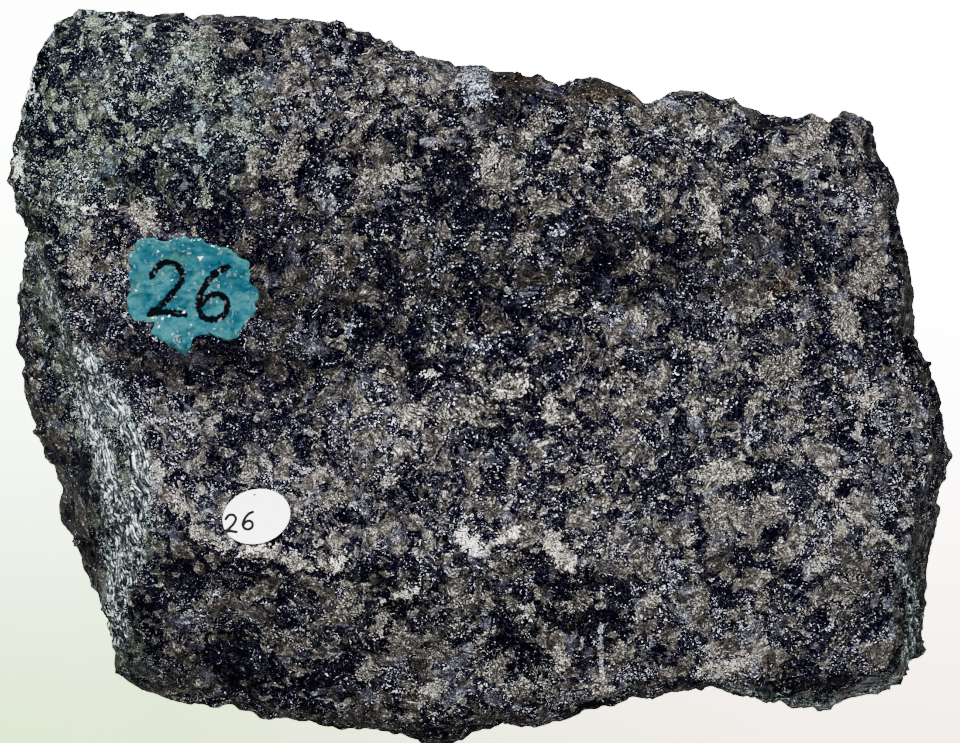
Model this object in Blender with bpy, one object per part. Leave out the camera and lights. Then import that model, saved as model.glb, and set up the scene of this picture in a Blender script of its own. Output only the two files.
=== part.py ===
"""A hand specimen of gabbro: one broken stone, the dab of paint and the paper sticker that number it.

The frame is in metres: X runs along the stone's length, Y across it and Z up, away from the table.
The origin is on the table, under the middle of the stone's box. Sizes below are in millimetres.
"""

import itertools

import bpy
import numpy as np
from mathutils import Vector
from mathutils.bvhtree import BVHTree

MM = 0.001

# The stone's outline from above, clockwise from the upper left corner. Each edge starts at its corner.
UPPER_EDGE = (
    (-49.1, 39.3), (-47.0, 40.5), (-45.6, 41.3), (-39.7, 41.1), (-34.1, 40.7), (-25.6, 40.2), (-17.1, 39.7),
    (-12.7, 39.5), (-11.1, 38.8), (-9.4, 36.7), (-6.6, 36.0), (-3.4, 35.0), (0.3, 34.7), (4.9, 33.9),
    (8.9, 32.4), (10.5, 33.7), (14.3, 33.7), (17.2, 32.3), (19.0, 31.2), (21.6, 32.0), (25.5, 32.3),
    (27.0, 31.3), (28.7, 31.3), (31.3, 30.0), (33.6, 29.2), (36.2, 28.8), (37.6, 29.8), (40.1, 29.0),
    (41.1, 29.9),
)
RIGHT_EDGE = (
    (44.4, 29.3), (45.2, 25.4), (47.2, 21.6), (47.7, 16.5), (48.7, 10.8), (48.4, 4.8), (49.8, 2.5),
    (52.0, -1.0), (52.8, -4.2), (52.7, -7.0), (53.4, -9.1), (52.3, -12.1), (51.4, -16.9), (50.5, -20.8),
    (50.6, -23.1), (50.5, -29.2), (50.4, -31.3), (49.2, -33.2),
)
LOWER_EDGE = (
    (48.0, -34.9), (46.0, -35.3), (41.8, -36.6), (39.5, -37.3), (36.4, -37.9), (33.2, -37.2), (31.7, -36.2),
    (29.7, -36.5), (26.5, -35.3), (20.9, -35.8), (16.8, -36.1), (13.0, -37.3), (9.6, -38.6), (6.1, -39.4),
    (2.2, -38.9), (-0.9, -39.8), (-2.5, -41.0), (-5.7, -41.3), (-8.9, -40.6), (-16.0, -40.0), (-23.8, -39.2),
    (-27.0, -38.0), (-34.9, -36.3), (-38.6, -35.0), (-41.0, -33.2),
)
LEFT_EDGE = (
    (-42.0, -31.0), (-42.8, -27.3), (-44.8, -21.8), (-46.6, -16.9), (-47.8, -12.1), (-50.3, -6.6),
    (-51.7, -2.1), (-52.4, 3.2), (-52.8, 5.5), (-52.5, 9.7), (-51.7, 13.7), (-51.5, 15.8), (-52.6, 18.0),
    (-53.4, 22.0), (-53.1, 26.7), (-52.2, 31.8), (-50.7, 35.6),
)

# How each stretch of the wall is cut: x, y, how far its upper rim stands back from the outline, the height
# at which it reaches the outline, and how far its foot stands back.
WALL_STATIONS = (
    (-48.0, 40.0, 2.2, 24.0, 5.0),
    (-30.0, 40.5, 1.0, 26.0, 4.0),
    (-12.7, 39.5, 1.3, 25.0, 5.0),
    (0.3, 34.7, 1.6, 24.0, 3.0),
    (19.0, 31.2, 1.1, 26.0, 4.0),
    (36.2, 28.8, 1.3, 24.0, 5.5),
    (44.4, 29.3, 1.8, 20.0, 6.0),
    (48.7, 10.8, 1.4, 19.0, 4.0),
    (52.0, -1.0, 2.0, 17.0, 5.0),
    (52.3, -12.1, 2.0, 15.0, 6.0),
    (50.6, -23.1, 2.6, 14.0, 4.5),
    (49.2, -33.2, 2.8, 15.0, 6.0),
    (36.4, -37.9, 2.4, 17.0, 6.0),
    (24.0, -35.5, 1.0, 21.0, 4.0),
    (6.1, -39.4, 1.0, 19.0, 5.0),
    (-5.7, -41.3, 1.3, 18.0, 7.0),
    (-23.8, -39.2, 1.8, 17.0, 5.0),
    (-38.6, -35.0, 2.2, 16.0, 6.0),
    (-42.8, -27.3, 2.4, 14.0, 6.0),
    (-46.6, -16.9, 5.6, 12.0, 5.5),
    (-50.3, -6.6, 7.2, 11.0, 4.0),
    (-52.4, 3.2, 5.8, 12.0, 4.5),
    (-51.7, 13.7, 3.2, 17.0, 6.0),
    (-53.4, 22.0, 2.0, 22.0, 6.5),
    (-52.2, 31.8, 2.2, 24.0, 6.0),
)

# A ring set back from the outline by CALM_AFTER has lost what is ragged within CALM_REACH, and it is set back
# square to the outline's trend over TREND_REACH.
CALM_AFTER = 4.0
CALM_REACH = 7.2
TREND_REACH = 12.0

# The height at which the wall reaches the outline wanders by this much, over about this distance.
WAIST_WANDER = 4.5
WAIST_WANDER_SIZE = 12.0
WAIST_SEED = 7

# Cross-sections of the upper face at each x: (y, height) at its upper rim, the lip of the plateau, the bottom
# of the hollow, the shoulder above it, the crest and the lower rim.
CROSS_SECTIONS = (
    (-50.0, ((38.0, 28.5), (20.0, 29.0), (8.0, 27.5), (0.0, 27.0), (-10.0, 27.0), (-30.0, 20.0))),
    (-44.0, ((39.0, 31.5), (19.0, 32.5), (6.0, 31.0), (-4.0, 30.0), (-14.0, 30.5), (-32.0, 21.5))),
    (-38.0, ((40.0, 34.0), (18.0, 33.6), (2.0, 29.8), (-7.0, 31.0), (-16.0, 34.2), (-34.0, 22.5))),
    (-31.0, ((40.5, 34.8), (17.0, 33.4), (0.0, 28.4), (-10.5, 30.6), (-18.5, 36.2), (-36.0, 23.5))),
    (-24.0, ((40.0, 35.0), (16.0, 33.2), (-1.0, 28.4), (-12.0, 31.0), (-20.5, 37.0), (-38.0, 24.5))),
    (-13.0, ((39.0, 34.6), (15.0, 32.8), (2.0, 29.6), (-12.0, 32.6), (-21.5, 37.0), (-39.0, 25.5))),
    (0.0, ((34.5, 33.6), (15.0, 32.4), (6.0, 30.4), (-10.0, 33.8), (-20.0, 36.4), (-38.5, 27.0))),
    (13.0, ((33.0, 33.0), (15.0, 32.0), (8.5, 30.6), (-8.0, 33.6), (-20.5, 36.0), (-37.0, 28.5))),
    (27.0, ((31.5, 32.6), (15.0, 31.8), (9.0, 30.6), (-6.0, 32.8), (-19.0, 35.2), (-35.5, 31.0))),
    (40.0, ((29.0, 31.4), (16.0, 31.8), (9.5, 31.2), (-4.0, 32.6), (-17.0, 34.6), (-36.0, 31.2))),
    (51.0, ((26.0, 30.0), (14.0, 30.6), (6.0, 30.8), (-5.0, 31.4), (-14.0, 32.0), (-33.0, 29.6))),
)

# Everything on the upper face is above this height.
UPPER_FACE_ABOVE = 26.0

# Scars where flakes came off: x, y, z of the middle, radius and depth.
FLAKE_SCARS = (
    (-52.5, 14.5, 24.0, 7.0, 1.6),
    (-44.0, 42.0, 12.0, 13.0, 2.4),
    (-7.5, 37.0, 33.0, 7.0, 1.4),
    (34.5, 28.5, 31.0, 7.0, 1.3),
    (22.0, 34.0, 10.0, 12.0, 2.2),
    (52.0, 8.0, 12.0, 11.0, 2.0),
    (46.0, -37.0, 27.0, 7.0, 1.2),
    (-10.0, -42.0, 7.0, 13.0, 2.4),
    (-45.0, -30.0, 6.0, 11.0, 2.0),
    (30.0, -30.0, 0.0, 14.0, 2.0),
    (-36.0, 24.0, 0.0, 15.0, 2.2),
)

# Ledges in the wall: x, y, height of the step, how far the wall above it stands back, and half its length.
WALL_LEDGES = (
    (50.5, -26.0, 25.5, 1.3, 8.0),
    (37.0, -38.0, 26.0, 1.5, 8.0),
    (-50.0, -5.0, 21.0, 1.2, 11.0),
    (-40.0, 41.0, 17.0, 1.2, 12.0),
    (10.0, 33.0, 21.0, 1.4, 13.0),
)
LEDGE_RISE = 1.6

# Flat breaks that cut the walls: x, y, z of a place on each, the bearing that it faces (0 to the right, 90 to
# the back) and how far it faces down, in degrees.
FLAT_BREAKS = (
    (-47.0, -14.0, 7.5, 196.0, 38.0),
    (-44.5, 20.0, 6.5, 170.0, 48.0),
    (-40.0, -30.0, 8.5, 232.0, 40.0),
    (-17.0, -37.0, 8.0, 262.0, 40.0),
    (12.0, -35.0, 7.5, 283.0, 46.0),
    (37.0, -33.5, 9.0, 291.0, 36.0),
    (47.5, -16.0, 8.5, 350.0, 44.0),
    (45.5, 12.0, 7.5, 14.0, 36.0),
    (36.0, 25.5, 8.5, 66.0, 42.0),
    (10.0, 30.5, 8.5, 82.0, 34.0),
    (-20.0, 36.5, 8.0, 96.0, 44.0),
    (-42.0, 37.0, 12.0, 128.0, 30.0),
)

# The flat spot on which the stone rests: its middle, its half length and half width, and the rise outside it.
FLAT_SPOT_MIDDLE = (1.0, -2.0)
FLAT_SPOT_REACH = (24.0, 17.0)
UNDERSIDE_RISE = 0.15

# The mesh: cells along, across and down the wall, above and below the place where it reaches the outline.
COLUMNS = 40
ROWS = 30
WALL_ROWS_ABOVE = 5
WALL_ROWS_BELOW = 5

# How fully the wall bulges between its rim and the outline, and between the outline and its foot.
BULGE_ABOVE = 1.5
BULGE_BELOW = 1.6

# Roughness of the break: facets that lean their own way and a slow swell under them everywhere, and broad
# facets cut into the walls and the underside, which hardly stand out past the plain form.
FACET_SIZE = 8.0
FACET_DEPTH = 0.45
FACET_SEED = 3
SWELL_SIZE = 13.0
SWELL_DEPTH = 0.5
SWELL_SEED = 11
BROAD_SIZE = 15.0
BROAD_DEPTH = 0.9
BROAD_CUT = 0.75
BROAD_SEED = 5
WALL_STANDS_OUT = 0.25
QUIET_AT_OUTLINE = 0.2

# The painted dab: its middle on the stone, and its edge about that, anticlockwise from the right.
PAINT_MIDDLE = (-32.8, 9.5)
PAINT_EDGE = (
    (7.5, 0.3), (6.9, 1.2), (6.6, 2.0), (6.6, 3.2), (5.6, 3.8), (4.6, 4.8), (3.3, 5.3), (1.8, 5.6),
    (1.0, 6.1), (-1.4, 6.3), (-2.1, 6.0), (-3.6, 6.0), (-4.7, 6.4), (-5.7, 6.1), (-6.3, 5.4), (-7.0, 4.0),
    (-7.0, 1.6), (-7.4, -0.9), (-7.2, -2.0), (-6.8, -3.0), (-5.3, -3.4), (-4.3, -3.6), (-4.6, -4.8),
    (-3.5, -5.6), (-2.4, -6.0), (-1.3, -6.7), (-0.4, -6.7), (0.3, -5.2), (0.9, -4.7), (2.9, -5.0),
    (3.8, -5.5), (4.8, -5.6), (5.8, -4.1), (6.8, -2.8), (7.4, -1.3),
)
PAINT_RADIUS = 7.0
PAINT_RINGS = 6
PAINT_THICKNESS = 0.3

# The paper sticker, a round dot on a slope, so that its plan is an ellipse, its long axis turned this far.
STICKER_MIDDLE = (-25.4, -15.9)
STICKER_DIAMETER = 7.7
STICKER_SLOPE = 38.0
STICKER_TURN = 15.0
STICKER_SPOKES = 28
STICKER_RINGS = 4
STICKER_THICKNESS = 0.3

# Paint and paper lie where the break is smooth, and it turns rough within this distance of their edges. They
# stay this much clear of the stone's faces.
ROUGH_AFTER = 5.0
FILM_GAP = 0.3

# Heights on the stone are found by looking down from here.
ABOVE_ALL = 100.0

# Colour, roughness and metallic value of each piece.
STONE_FINISH = ((0.075, 0.075, 0.085), 0.6, 0.0)
PAINT_FINISH = ((0.02, 0.24, 0.33), 0.35, 0.0)
PAPER_FINISH = ((0.85, 0.84, 0.83), 0.8, 0.0)


def clear_scene():
    """Removes whatever the file opened with."""
    for obj in list(bpy.data.objects):
        bpy.data.objects.remove(obj, do_unlink=True)


def material(name, finish):
    """A plain Principled material of one colour, roughness and metallic value."""
    colour, roughness, metallic = finish
    made = bpy.data.materials.new(name)
    made.use_nodes = True
    shader = made.node_tree.nodes["Principled BSDF"]
    shader.inputs["Base Color"].default_value = (*colour, 1.0)
    shader.inputs["Roughness"].default_value = roughness
    shader.inputs["Metallic"].default_value = metallic
    return made


def chance(cells, channel):
    """A repeatable number from 0 to 1 for each whole-number cell."""
    x, y, z = (cells[..., i].astype(np.int64).astype(np.uint32) for i in range(3))
    mixed = x * np.uint32(73856093) ^ y * np.uint32(19349663) ^ z * np.uint32(83492791)
    mixed = (mixed + np.uint32(channel * 668265263 % 2**32)) * np.uint32(2246822519)
    mixed = (mixed ^ (mixed >> np.uint32(15))) * np.uint32(1274126177)
    return (mixed ^ (mixed >> np.uint32(16))) / 2.0**32


def facets(points, size, seed):
    """Height of a surface broken into cells of about this size, each with a step and a lean of its own."""
    cell = np.floor(points / size)
    nearest = np.full(len(points), np.inf)
    height = np.zeros(len(points))
    for offset in itertools.product((-1, 0, 1), repeat=3):
        near = cell + offset
        middle = (near + np.stack([chance(near, seed + i) for i in range(3)], axis=1)) * size
        away = points - middle
        distance = (away**2).sum(axis=1)
        lean = 2 * np.stack([chance(near, seed + i) for i in range(3, 6)], axis=1) - 1
        here = 2 * chance(near, seed + 6) - 1 + (away * lean).sum(axis=1) / size
        closer = distance < nearest
        height = np.where(closer, here, height)
        nearest = np.where(closer, distance, nearest)
    return height


def swell(points, size, seed):
    """Smooth noise from -1 to 1 that changes over about this size."""
    scaled = points / size
    cell = np.floor(scaled)
    part = scaled - cell
    part = part * part * (3 - 2 * part)
    total = np.zeros(len(points))
    for corner in itertools.product((0, 1), repeat=3):
        weight = np.prod(np.where(np.array(corner) == 1, part, 1 - part), axis=1)
        total += weight * (2 * chance(cell + corner, seed) - 1)
    return total


def spread_along(edge, next_corner, cells):
    """Points at even distances along one edge of the outline, without the next corner."""
    path = np.array([*edge, next_corner])
    reached = np.concatenate([[0], np.cumsum(np.linalg.norm(np.diff(path, axis=0), axis=1))])
    wanted = np.linspace(0, reached[-1], cells, endpoint=False)
    return np.stack([np.interp(wanted, reached, path[:, axis]) for axis in range(2)], axis=1)


def outline_ring():
    """The outline's points, clockwise from the upper left corner, as many as the mesh has round it."""
    edges = (UPPER_EDGE, RIGHT_EDGE, LOWER_EDGE, LEFT_EDGE)
    counts = (COLUMNS, ROWS, COLUMNS, ROWS)
    return np.concatenate(
        [spread_along(edge, edges[(i + 1) % 4][0], counts[i]) for i, edge in enumerate(edges)]
    )


def smoothed(ring, reach):
    """The ring with each point replaced by the mean of its neighbours up to this distance along it."""
    spacing = np.linalg.norm(np.roll(ring, -1, axis=0) - ring, axis=1).mean()
    steps = round(reach / spacing)
    return np.mean([np.roll(ring, step, axis=0) for step in range(-steps, steps + 1)], axis=0)


def set_back(ring, distance):
    """The ring moved inwards. The further it goes, the more of the outline's raggedness it loses."""
    calm = smoothed(ring, CALM_REACH)
    trend = smoothed(ring, TREND_REACH)
    along = np.roll(trend, -1, axis=0) - np.roll(trend, 1, axis=0)
    inwards = np.stack([along[:, 1], -along[:, 0]], axis=1)
    inwards /= np.linalg.norm(inwards, axis=1, keepdims=True)
    share = np.clip(distance / CALM_AFTER, 0, 1)[:, None]
    return ring * (1 - share) + calm * share + inwards * distance[:, None]


def wall_values(ring):
    """Rim distance, outline height and foot distance at each point of the ring, between the stations."""
    stations = np.array(WALL_STATIONS)
    steps = np.linalg.norm(np.roll(ring, -1, axis=0) - ring, axis=1)
    reached = np.concatenate([[0], np.cumsum(steps)[:-1]])
    nearest = [np.linalg.norm(ring - station[:2], axis=1).argmin() for station in stations]
    return [
        np.interp(reached, reached[nearest], stations[:, column], period=steps.sum())
        for column in (2, 3, 4)
    ]


def filled(ring):
    """A grid of points inside a ring, blended between its four edges."""
    upper = ring[: COLUMNS + 1]
    right = ring[COLUMNS : COLUMNS + ROWS + 1]
    lower = ring[COLUMNS + ROWS : 2 * COLUMNS + ROWS + 1][::-1]
    left = np.concatenate([ring[2 * COLUMNS + ROWS :], ring[:1]])[::-1]
    across = np.linspace(0, 1, COLUMNS + 1)[None, :, None]
    down = np.linspace(0, 1, ROWS + 1)[:, None, None]
    between_edges = (1 - down) * upper + down * lower + (1 - across) * left[:, None] + across * right[:, None]
    between_corners = (1 - down) * ((1 - across) * upper[0] + across * upper[-1]) + down * (
        (1 - across) * lower[0] + across * lower[-1]
    )
    return between_edges - between_corners


def upper_face_height(x, y):
    """Height of the upper face: straight between the cross-sections, and between the places on each."""
    at = [section[0] for section in CROSS_SECTIONS]
    places = np.array([section[1] for section in CROSS_SECTIONS])
    count = places.shape[1]
    where = [np.interp(x, at, places[:, i, 0]) for i in range(count)]
    height = [np.interp(x, at, places[:, i, 1]) for i in range(count)]
    total = height[0]
    for i in range(count - 1):
        share = np.clip((where[i] - y) / (where[i] - where[i + 1]), 0, 1)
        total = total + (height[i + 1] - height[i]) * share
    return total


def outside_flat_spot(x, y):
    """Distance outside the flat spot, about 0 or less on it."""
    along = (x - FLAT_SPOT_MIDDLE[0]) / FLAT_SPOT_REACH[0]
    across = (y - FLAT_SPOT_MIDDLE[1]) / FLAT_SPOT_REACH[1]
    return (np.hypot(along, across) - 1) * min(FLAT_SPOT_REACH)


def underside_height(x, y):
    """Height of the underside: flat on the flat spot, and rising away from it."""
    return UNDERSIDE_RISE * np.maximum(outside_flat_spot(x, y), 0)


def with_height(flat, height):
    """Points of a plan with the height that a function gives them."""
    return np.concatenate([flat, height(flat[..., 0], flat[..., 1])[..., None]], axis=-1)


def wall_rows(ring, rim, foot, waist_height, rim_back, foot_back):
    """The rows of the wall between its rim and its foot, which bulges out to the outline between them."""
    rows = []
    for step in range(1, WALL_ROWS_ABOVE + 1):
        share = step / WALL_ROWS_ABOVE
        plan = set_back(ring, rim_back * (1 - share) ** BULGE_ABOVE)
        rows.append(np.column_stack([plan, rim[:, 2] + (waist_height - rim[:, 2]) * share]))
    for step in range(1, WALL_ROWS_BELOW):
        share = step / WALL_ROWS_BELOW
        plan = set_back(ring, foot_back * share**BULGE_BELOW)
        rows.append(np.column_stack([plan, waist_height + (foot[:, 2] - waist_height) * share]))
    return rows


def ring_in_grid():
    """Where the ring's points are in a grid, counted row by row."""
    index = np.arange((ROWS + 1) * (COLUMNS + 1)).reshape(ROWS + 1, COLUMNS + 1)
    return np.concatenate([index[0, :-1], index[:-1, -1], index[-1, :0:-1], index[:0:-1, 0]])


def grid_faces(first, turned):
    """The quads of a grid whose points start at this index, facing up, or down if turned."""
    index = first + np.arange((ROWS + 1) * (COLUMNS + 1)).reshape(ROWS + 1, COLUMNS + 1)
    corners = (index[:-1, :-1], index[1:, :-1], index[1:, 1:], index[:-1, 1:])
    quads = np.stack(corners, axis=-1).reshape(-1, 4)
    return quads[:, ::-1] if turned else quads


def with_flat_breaks(points):
    """The points, with those that stand past a flat break brought back to it."""
    points = points.copy()
    for x, y, z, bearing, down in FLAT_BREAKS:
        turn, dip = np.radians(bearing), np.radians(down)
        facing = np.array([np.cos(turn) * np.cos(dip), np.sin(turn) * np.cos(dip), -np.sin(dip)])
        past = np.maximum((points - (x, y, z)) @ facing, 0)
        points -= past[:, None] * facing
    return points


def stone_form():
    """The plain stone's points and faces, and the share of the fine and broad roughness that each point takes."""
    ring = outline_ring()
    rim_back, waist_height, foot_back = wall_values(ring)
    waist_height += WAIST_WANDER * swell(np.column_stack([ring, waist_height]), WAIST_WANDER_SIZE, WAIST_SEED)
    upper = with_height(filled(set_back(ring, rim_back)), upper_face_height).reshape(-1, 3)
    under = with_height(filled(set_back(ring, foot_back)), underside_height).reshape(-1, 3)
    border = ring_in_grid()
    rows = wall_rows(ring, upper[border], under[border], waist_height, rim_back, foot_back)
    points = np.concatenate([upper, *rows, under])
    fine = np.ones(len(points))
    broad = np.zeros(len(points))
    broad[len(upper) :] = 1
    waist = len(upper) + (WALL_ROWS_ABOVE - 1) * len(ring)
    fine[waist : waist + len(ring)] = QUIET_AT_OUTLINE
    broad[waist : waist + len(ring)] = 0

    first_under = len(points) - len(under)
    loops = [border]
    loops += [len(upper) + row * len(ring) + np.arange(len(ring)) for row in range(len(rows))]
    loops += [first_under + border]
    walls = [
        np.stack([above, np.roll(above, -1), np.roll(below, -1), below], axis=1)
        for above, below in zip(loops, loops[1:])
    ]
    faces = np.concatenate([grid_faces(0, False), *walls, grid_faces(first_under, True)])
    return with_flat_breaks(points), faces, fine, broad


def bell(distance, reach):
    """1 in the middle, falling smoothly to 0 at this distance."""
    return np.clip(1 - (distance / reach) ** 2, 0, 1) ** 2


def roughness(points, fine, broad):
    """How far the break stands out of the stone's plain form at each point."""
    relief = fine * FACET_DEPTH * facets(points, FACET_SIZE, FACET_SEED)
    relief += fine * SWELL_DEPTH * swell(points, SWELL_SIZE, SWELL_SEED)
    relief += broad * BROAD_DEPTH * (facets(points, BROAD_SIZE, BROAD_SEED) - BROAD_CUT)
    relief = np.where(broad > 0, np.minimum(relief, WALL_STANDS_OUT), relief)
    for middle, radius in ((PAINT_MIDDLE, PAINT_RADIUS), (STICKER_MIDDLE, STICKER_DIAMETER / 2)):
        away = np.linalg.norm(points[:, :2] - middle, axis=1)
        relief *= np.where(points[:, 2] > UPPER_FACE_ABOVE, np.clip((away - radius) / ROUGH_AFTER, 0, 1), 1)
    for x, y, z, radius, depth in FLAKE_SCARS:
        relief -= depth * bell(np.linalg.norm(points - (x, y, z), axis=1), radius)
    for x, y, level, depth, half_length in WALL_LEDGES:
        away = np.linalg.norm(points[:, :2] - (x, y), axis=1)
        above = np.clip((points[:, 2] - level) / LEDGE_RISE, 0, 1)
        relief -= depth * above * bell(away, half_length)
    return relief


def mesh_of(name, points, faces):
    """A mesh of points in millimetres."""
    mesh = bpy.data.meshes.new(name)
    mesh.from_pydata((points * MM).tolist(), [], faces.tolist())
    mesh.update()
    return mesh


def normals_of(mesh):
    """The mesh's own normal at each point."""
    values = np.empty(len(mesh.vertices) * 3, np.float32)
    mesh.vertex_normals.foreach_get("vector", values)
    return values.reshape(-1, 3).astype(float)


def placed(name, mesh, finish):
    """The mesh as an object with its own material."""
    obj = bpy.data.objects.new(name, mesh)
    mesh.materials.append(material(name, finish))
    bpy.context.scene.collection.objects.link(obj)
    return obj


def gabbro_stone():
    """The stone itself, roughened, with its flat spot kept level with the table."""
    points, faces, fine, broad = stone_form()
    normals = normals_of(mesh_of("plain_form", points, faces))
    flat = (points[:, 2] < 1) & (outside_flat_spot(points[:, 0], points[:, 1]) <= 0)
    moved = points + normals * np.where(flat, 0, roughness(points, fine, broad))[:, None]
    moved[:, 2] = np.where(flat, 0, np.maximum(moved[:, 2], 0))
    middle = (moved.min(axis=0) + moved.max(axis=0)) / 2
    moved[:, :2] -= middle[:2]
    mesh = mesh_of("gabbro_stone", moved, faces)
    return placed("gabbro_stone", mesh, STONE_FINISH), middle[:2]


def height_on(stone, shift):
    """A function that gives the height of the stone's upper face at a point of the plan, in millimetres."""
    mesh = stone.data
    tree = BVHTree.FromPolygons([v.co for v in mesh.vertices], [p.vertices for p in mesh.polygons])

    def height(x, y):
        start = Vector((x - shift[0], y - shift[1], ABOVE_ALL)) * MM
        return tree.ray_cast(start, Vector((0, 0, -1)))[0].z / MM

    return height


def resting_height(plan, height):
    """Heights of a gently curved sheet over the stone: the best quadratic through it, raised clear of it."""
    x, y = (plan - plan[0]).T
    ground = np.array([height(*place) for place in plan])
    terms = np.column_stack([np.ones(len(x)), x, y, x * x, x * y, y * y])
    sheet = terms @ np.linalg.lstsq(terms, ground, rcond=None)[0]
    return sheet + (ground - sheet).max() + FILM_GAP


def film(name, edge, middle, rings, thickness, stone, shift, finish):
    """A thin sheet that lies on the stone: rings from its middle to its edge, above and below."""
    edge = np.array(edge)
    spokes = len(edge)
    plan = np.concatenate([[middle], *(middle + edge * ring / rings for ring in range(1, rings + 1))])
    below = np.column_stack([plan - shift, resting_height(plan, height_on(stone, shift))])
    above = below + (0, 0, thickness)
    count = len(plan)

    faces = []
    for spoke in range(spokes):
        after = (spoke + 1) % spokes
        faces.append((count, count + 1 + spoke, count + 1 + after))
        faces.append((0, 1 + after, 1 + spoke))
        for ring in range(rings - 1):
            a, b = 1 + ring * spokes + spoke, 1 + ring * spokes + after
            c, d = b + spokes, a + spokes
            faces.append((a + count, d + count, c + count, b + count))
            faces.append((a, b, c, d))
        a, b = 1 + (rings - 1) * spokes + spoke, 1 + (rings - 1) * spokes + after
        faces.append((a, b, b + count, a + count))
    mesh = bpy.data.meshes.new(name)
    mesh.from_pydata((np.concatenate([below, above]) * MM).tolist(), [], faces)
    mesh.update()
    return placed(name, mesh, finish)


def sticker_edge():
    """The plan of a round sticker on its slope, anticlockwise from its right end."""
    around = np.linspace(0, 2 * np.pi, STICKER_SPOKES, endpoint=False)
    along = STICKER_DIAMETER / 2 * np.cos(around)
    across = STICKER_DIAMETER / 2 * np.cos(np.radians(STICKER_SLOPE)) * np.sin(around)
    turn = np.radians(STICKER_TURN)
    return np.stack(
        [along * np.cos(turn) - across * np.sin(turn), along * np.sin(turn) + across * np.cos(turn)], axis=1
    )


def main():
    clear_scene()
    stone, shift = gabbro_stone()
    film(
        "turquoise_paint_dab", PAINT_EDGE, PAINT_MIDDLE, PAINT_RINGS, PAINT_THICKNESS, stone, shift,
        PAINT_FINISH,
    )
    film(
        "white_paper_sticker", sticker_edge(), STICKER_MIDDLE, STICKER_RINGS, STICKER_THICKNESS, stone, shift,
        PAPER_FINISH,
    )


main()
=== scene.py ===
"""Looks of the gabbro hand specimen: broken stone, a dab of enamel and a paper dot, in a plain studio.

Lengths are in millimetres until a mesh, a lamp or the camera is made. Places on the stone are millimetres
from the middle of the photograph's view of it, or pixels of that photograph, which looks straight down.
"""

import itertools
import logging
from dataclasses import dataclass, field
from enum import Enum

import bpy
import numpy as np
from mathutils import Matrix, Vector


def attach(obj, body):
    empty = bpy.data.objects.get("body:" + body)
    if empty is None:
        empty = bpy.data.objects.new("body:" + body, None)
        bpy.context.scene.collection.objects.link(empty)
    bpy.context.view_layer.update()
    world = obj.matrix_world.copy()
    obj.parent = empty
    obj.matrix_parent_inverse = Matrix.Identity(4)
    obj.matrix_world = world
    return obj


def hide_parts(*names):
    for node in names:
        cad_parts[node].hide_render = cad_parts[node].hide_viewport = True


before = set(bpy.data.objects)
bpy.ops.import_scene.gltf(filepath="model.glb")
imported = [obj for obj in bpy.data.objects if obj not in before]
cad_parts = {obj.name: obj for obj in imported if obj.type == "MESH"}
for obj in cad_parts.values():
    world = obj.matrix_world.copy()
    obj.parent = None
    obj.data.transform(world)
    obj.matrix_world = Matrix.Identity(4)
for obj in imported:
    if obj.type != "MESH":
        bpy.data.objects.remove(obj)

log = logging.getLogger("gabbro_specimen")

NodeTree = bpy.types.NodeTree
Socket = bpy.types.NodeSocket
Value = Socket | float | tuple[float, ...]
Colour = tuple[float, float, float]
Place = tuple[float, float]
Pair = tuple[float, float]
Numbers = tuple[float, ...]

MM = 0.001
# The tint that changes nothing.
PLAIN: Colour = (1.0, 1.0, 1.0)

# The photograph: its size, its pixels for each millimetre, the pixel at the middle of the stone, and where
# the frame's origin is from there.
PHOTO_SIZE = (960, 743)
PHOTO_SCALE = 8.8
PHOTO_MIDDLE = (480.5, 376.2)
ORIGIN = (-0.016, -0.392)


def in_plan(pixels: np.ndarray) -> np.ndarray:
    """Turns pixels of the photograph into millimetres of the plan.

    Args:
        pixels: pairs of pixels, counted right and down.

    Returns:
        Pairs (pixel - middle) / scale, counted right and up.
    """
    pixels = np.asarray(pixels, float)
    away = (pixels - PHOTO_MIDDLE) / PHOTO_SCALE
    return away * (1, -1)


# Numbers that repeat, noise and distances, all on whole arrays

# Large odd numbers that mix up a cell's three numbers, the channel and the bits of the result.
CELL_PRIMES = (73856093, 19349663, 83492791)
CHANNEL_PRIME = 668265263
BIT_MIXERS = (2246822519, 1274126177)


def chance(cells: np.ndarray, channel: int) -> np.ndarray:
    """A repeatable number from 0 to 1 for each whole-number cell.

    Args:
        cells: n x 3 cell numbers.
        channel: which of the cell's numbers is wanted.

    Returns:
        The cell's three numbers times three large primes, mixed bit by bit, as a share of the largest result.
    """
    first, second, third = (
        cells[..., axis].astype(np.int64).astype(np.uint32) * np.uint32(prime)
        for axis, prime in enumerate(CELL_PRIMES)
    )
    mixed = first ^ second ^ third
    mixed = (mixed + np.uint32(channel * CHANNEL_PRIME % 2**32)) * np.uint32(BIT_MIXERS[0])
    mixed = (mixed ^ (mixed >> np.uint32(15))) * np.uint32(BIT_MIXERS[1])
    return (mixed ^ (mixed >> np.uint32(16))) / 2.0**32


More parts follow.
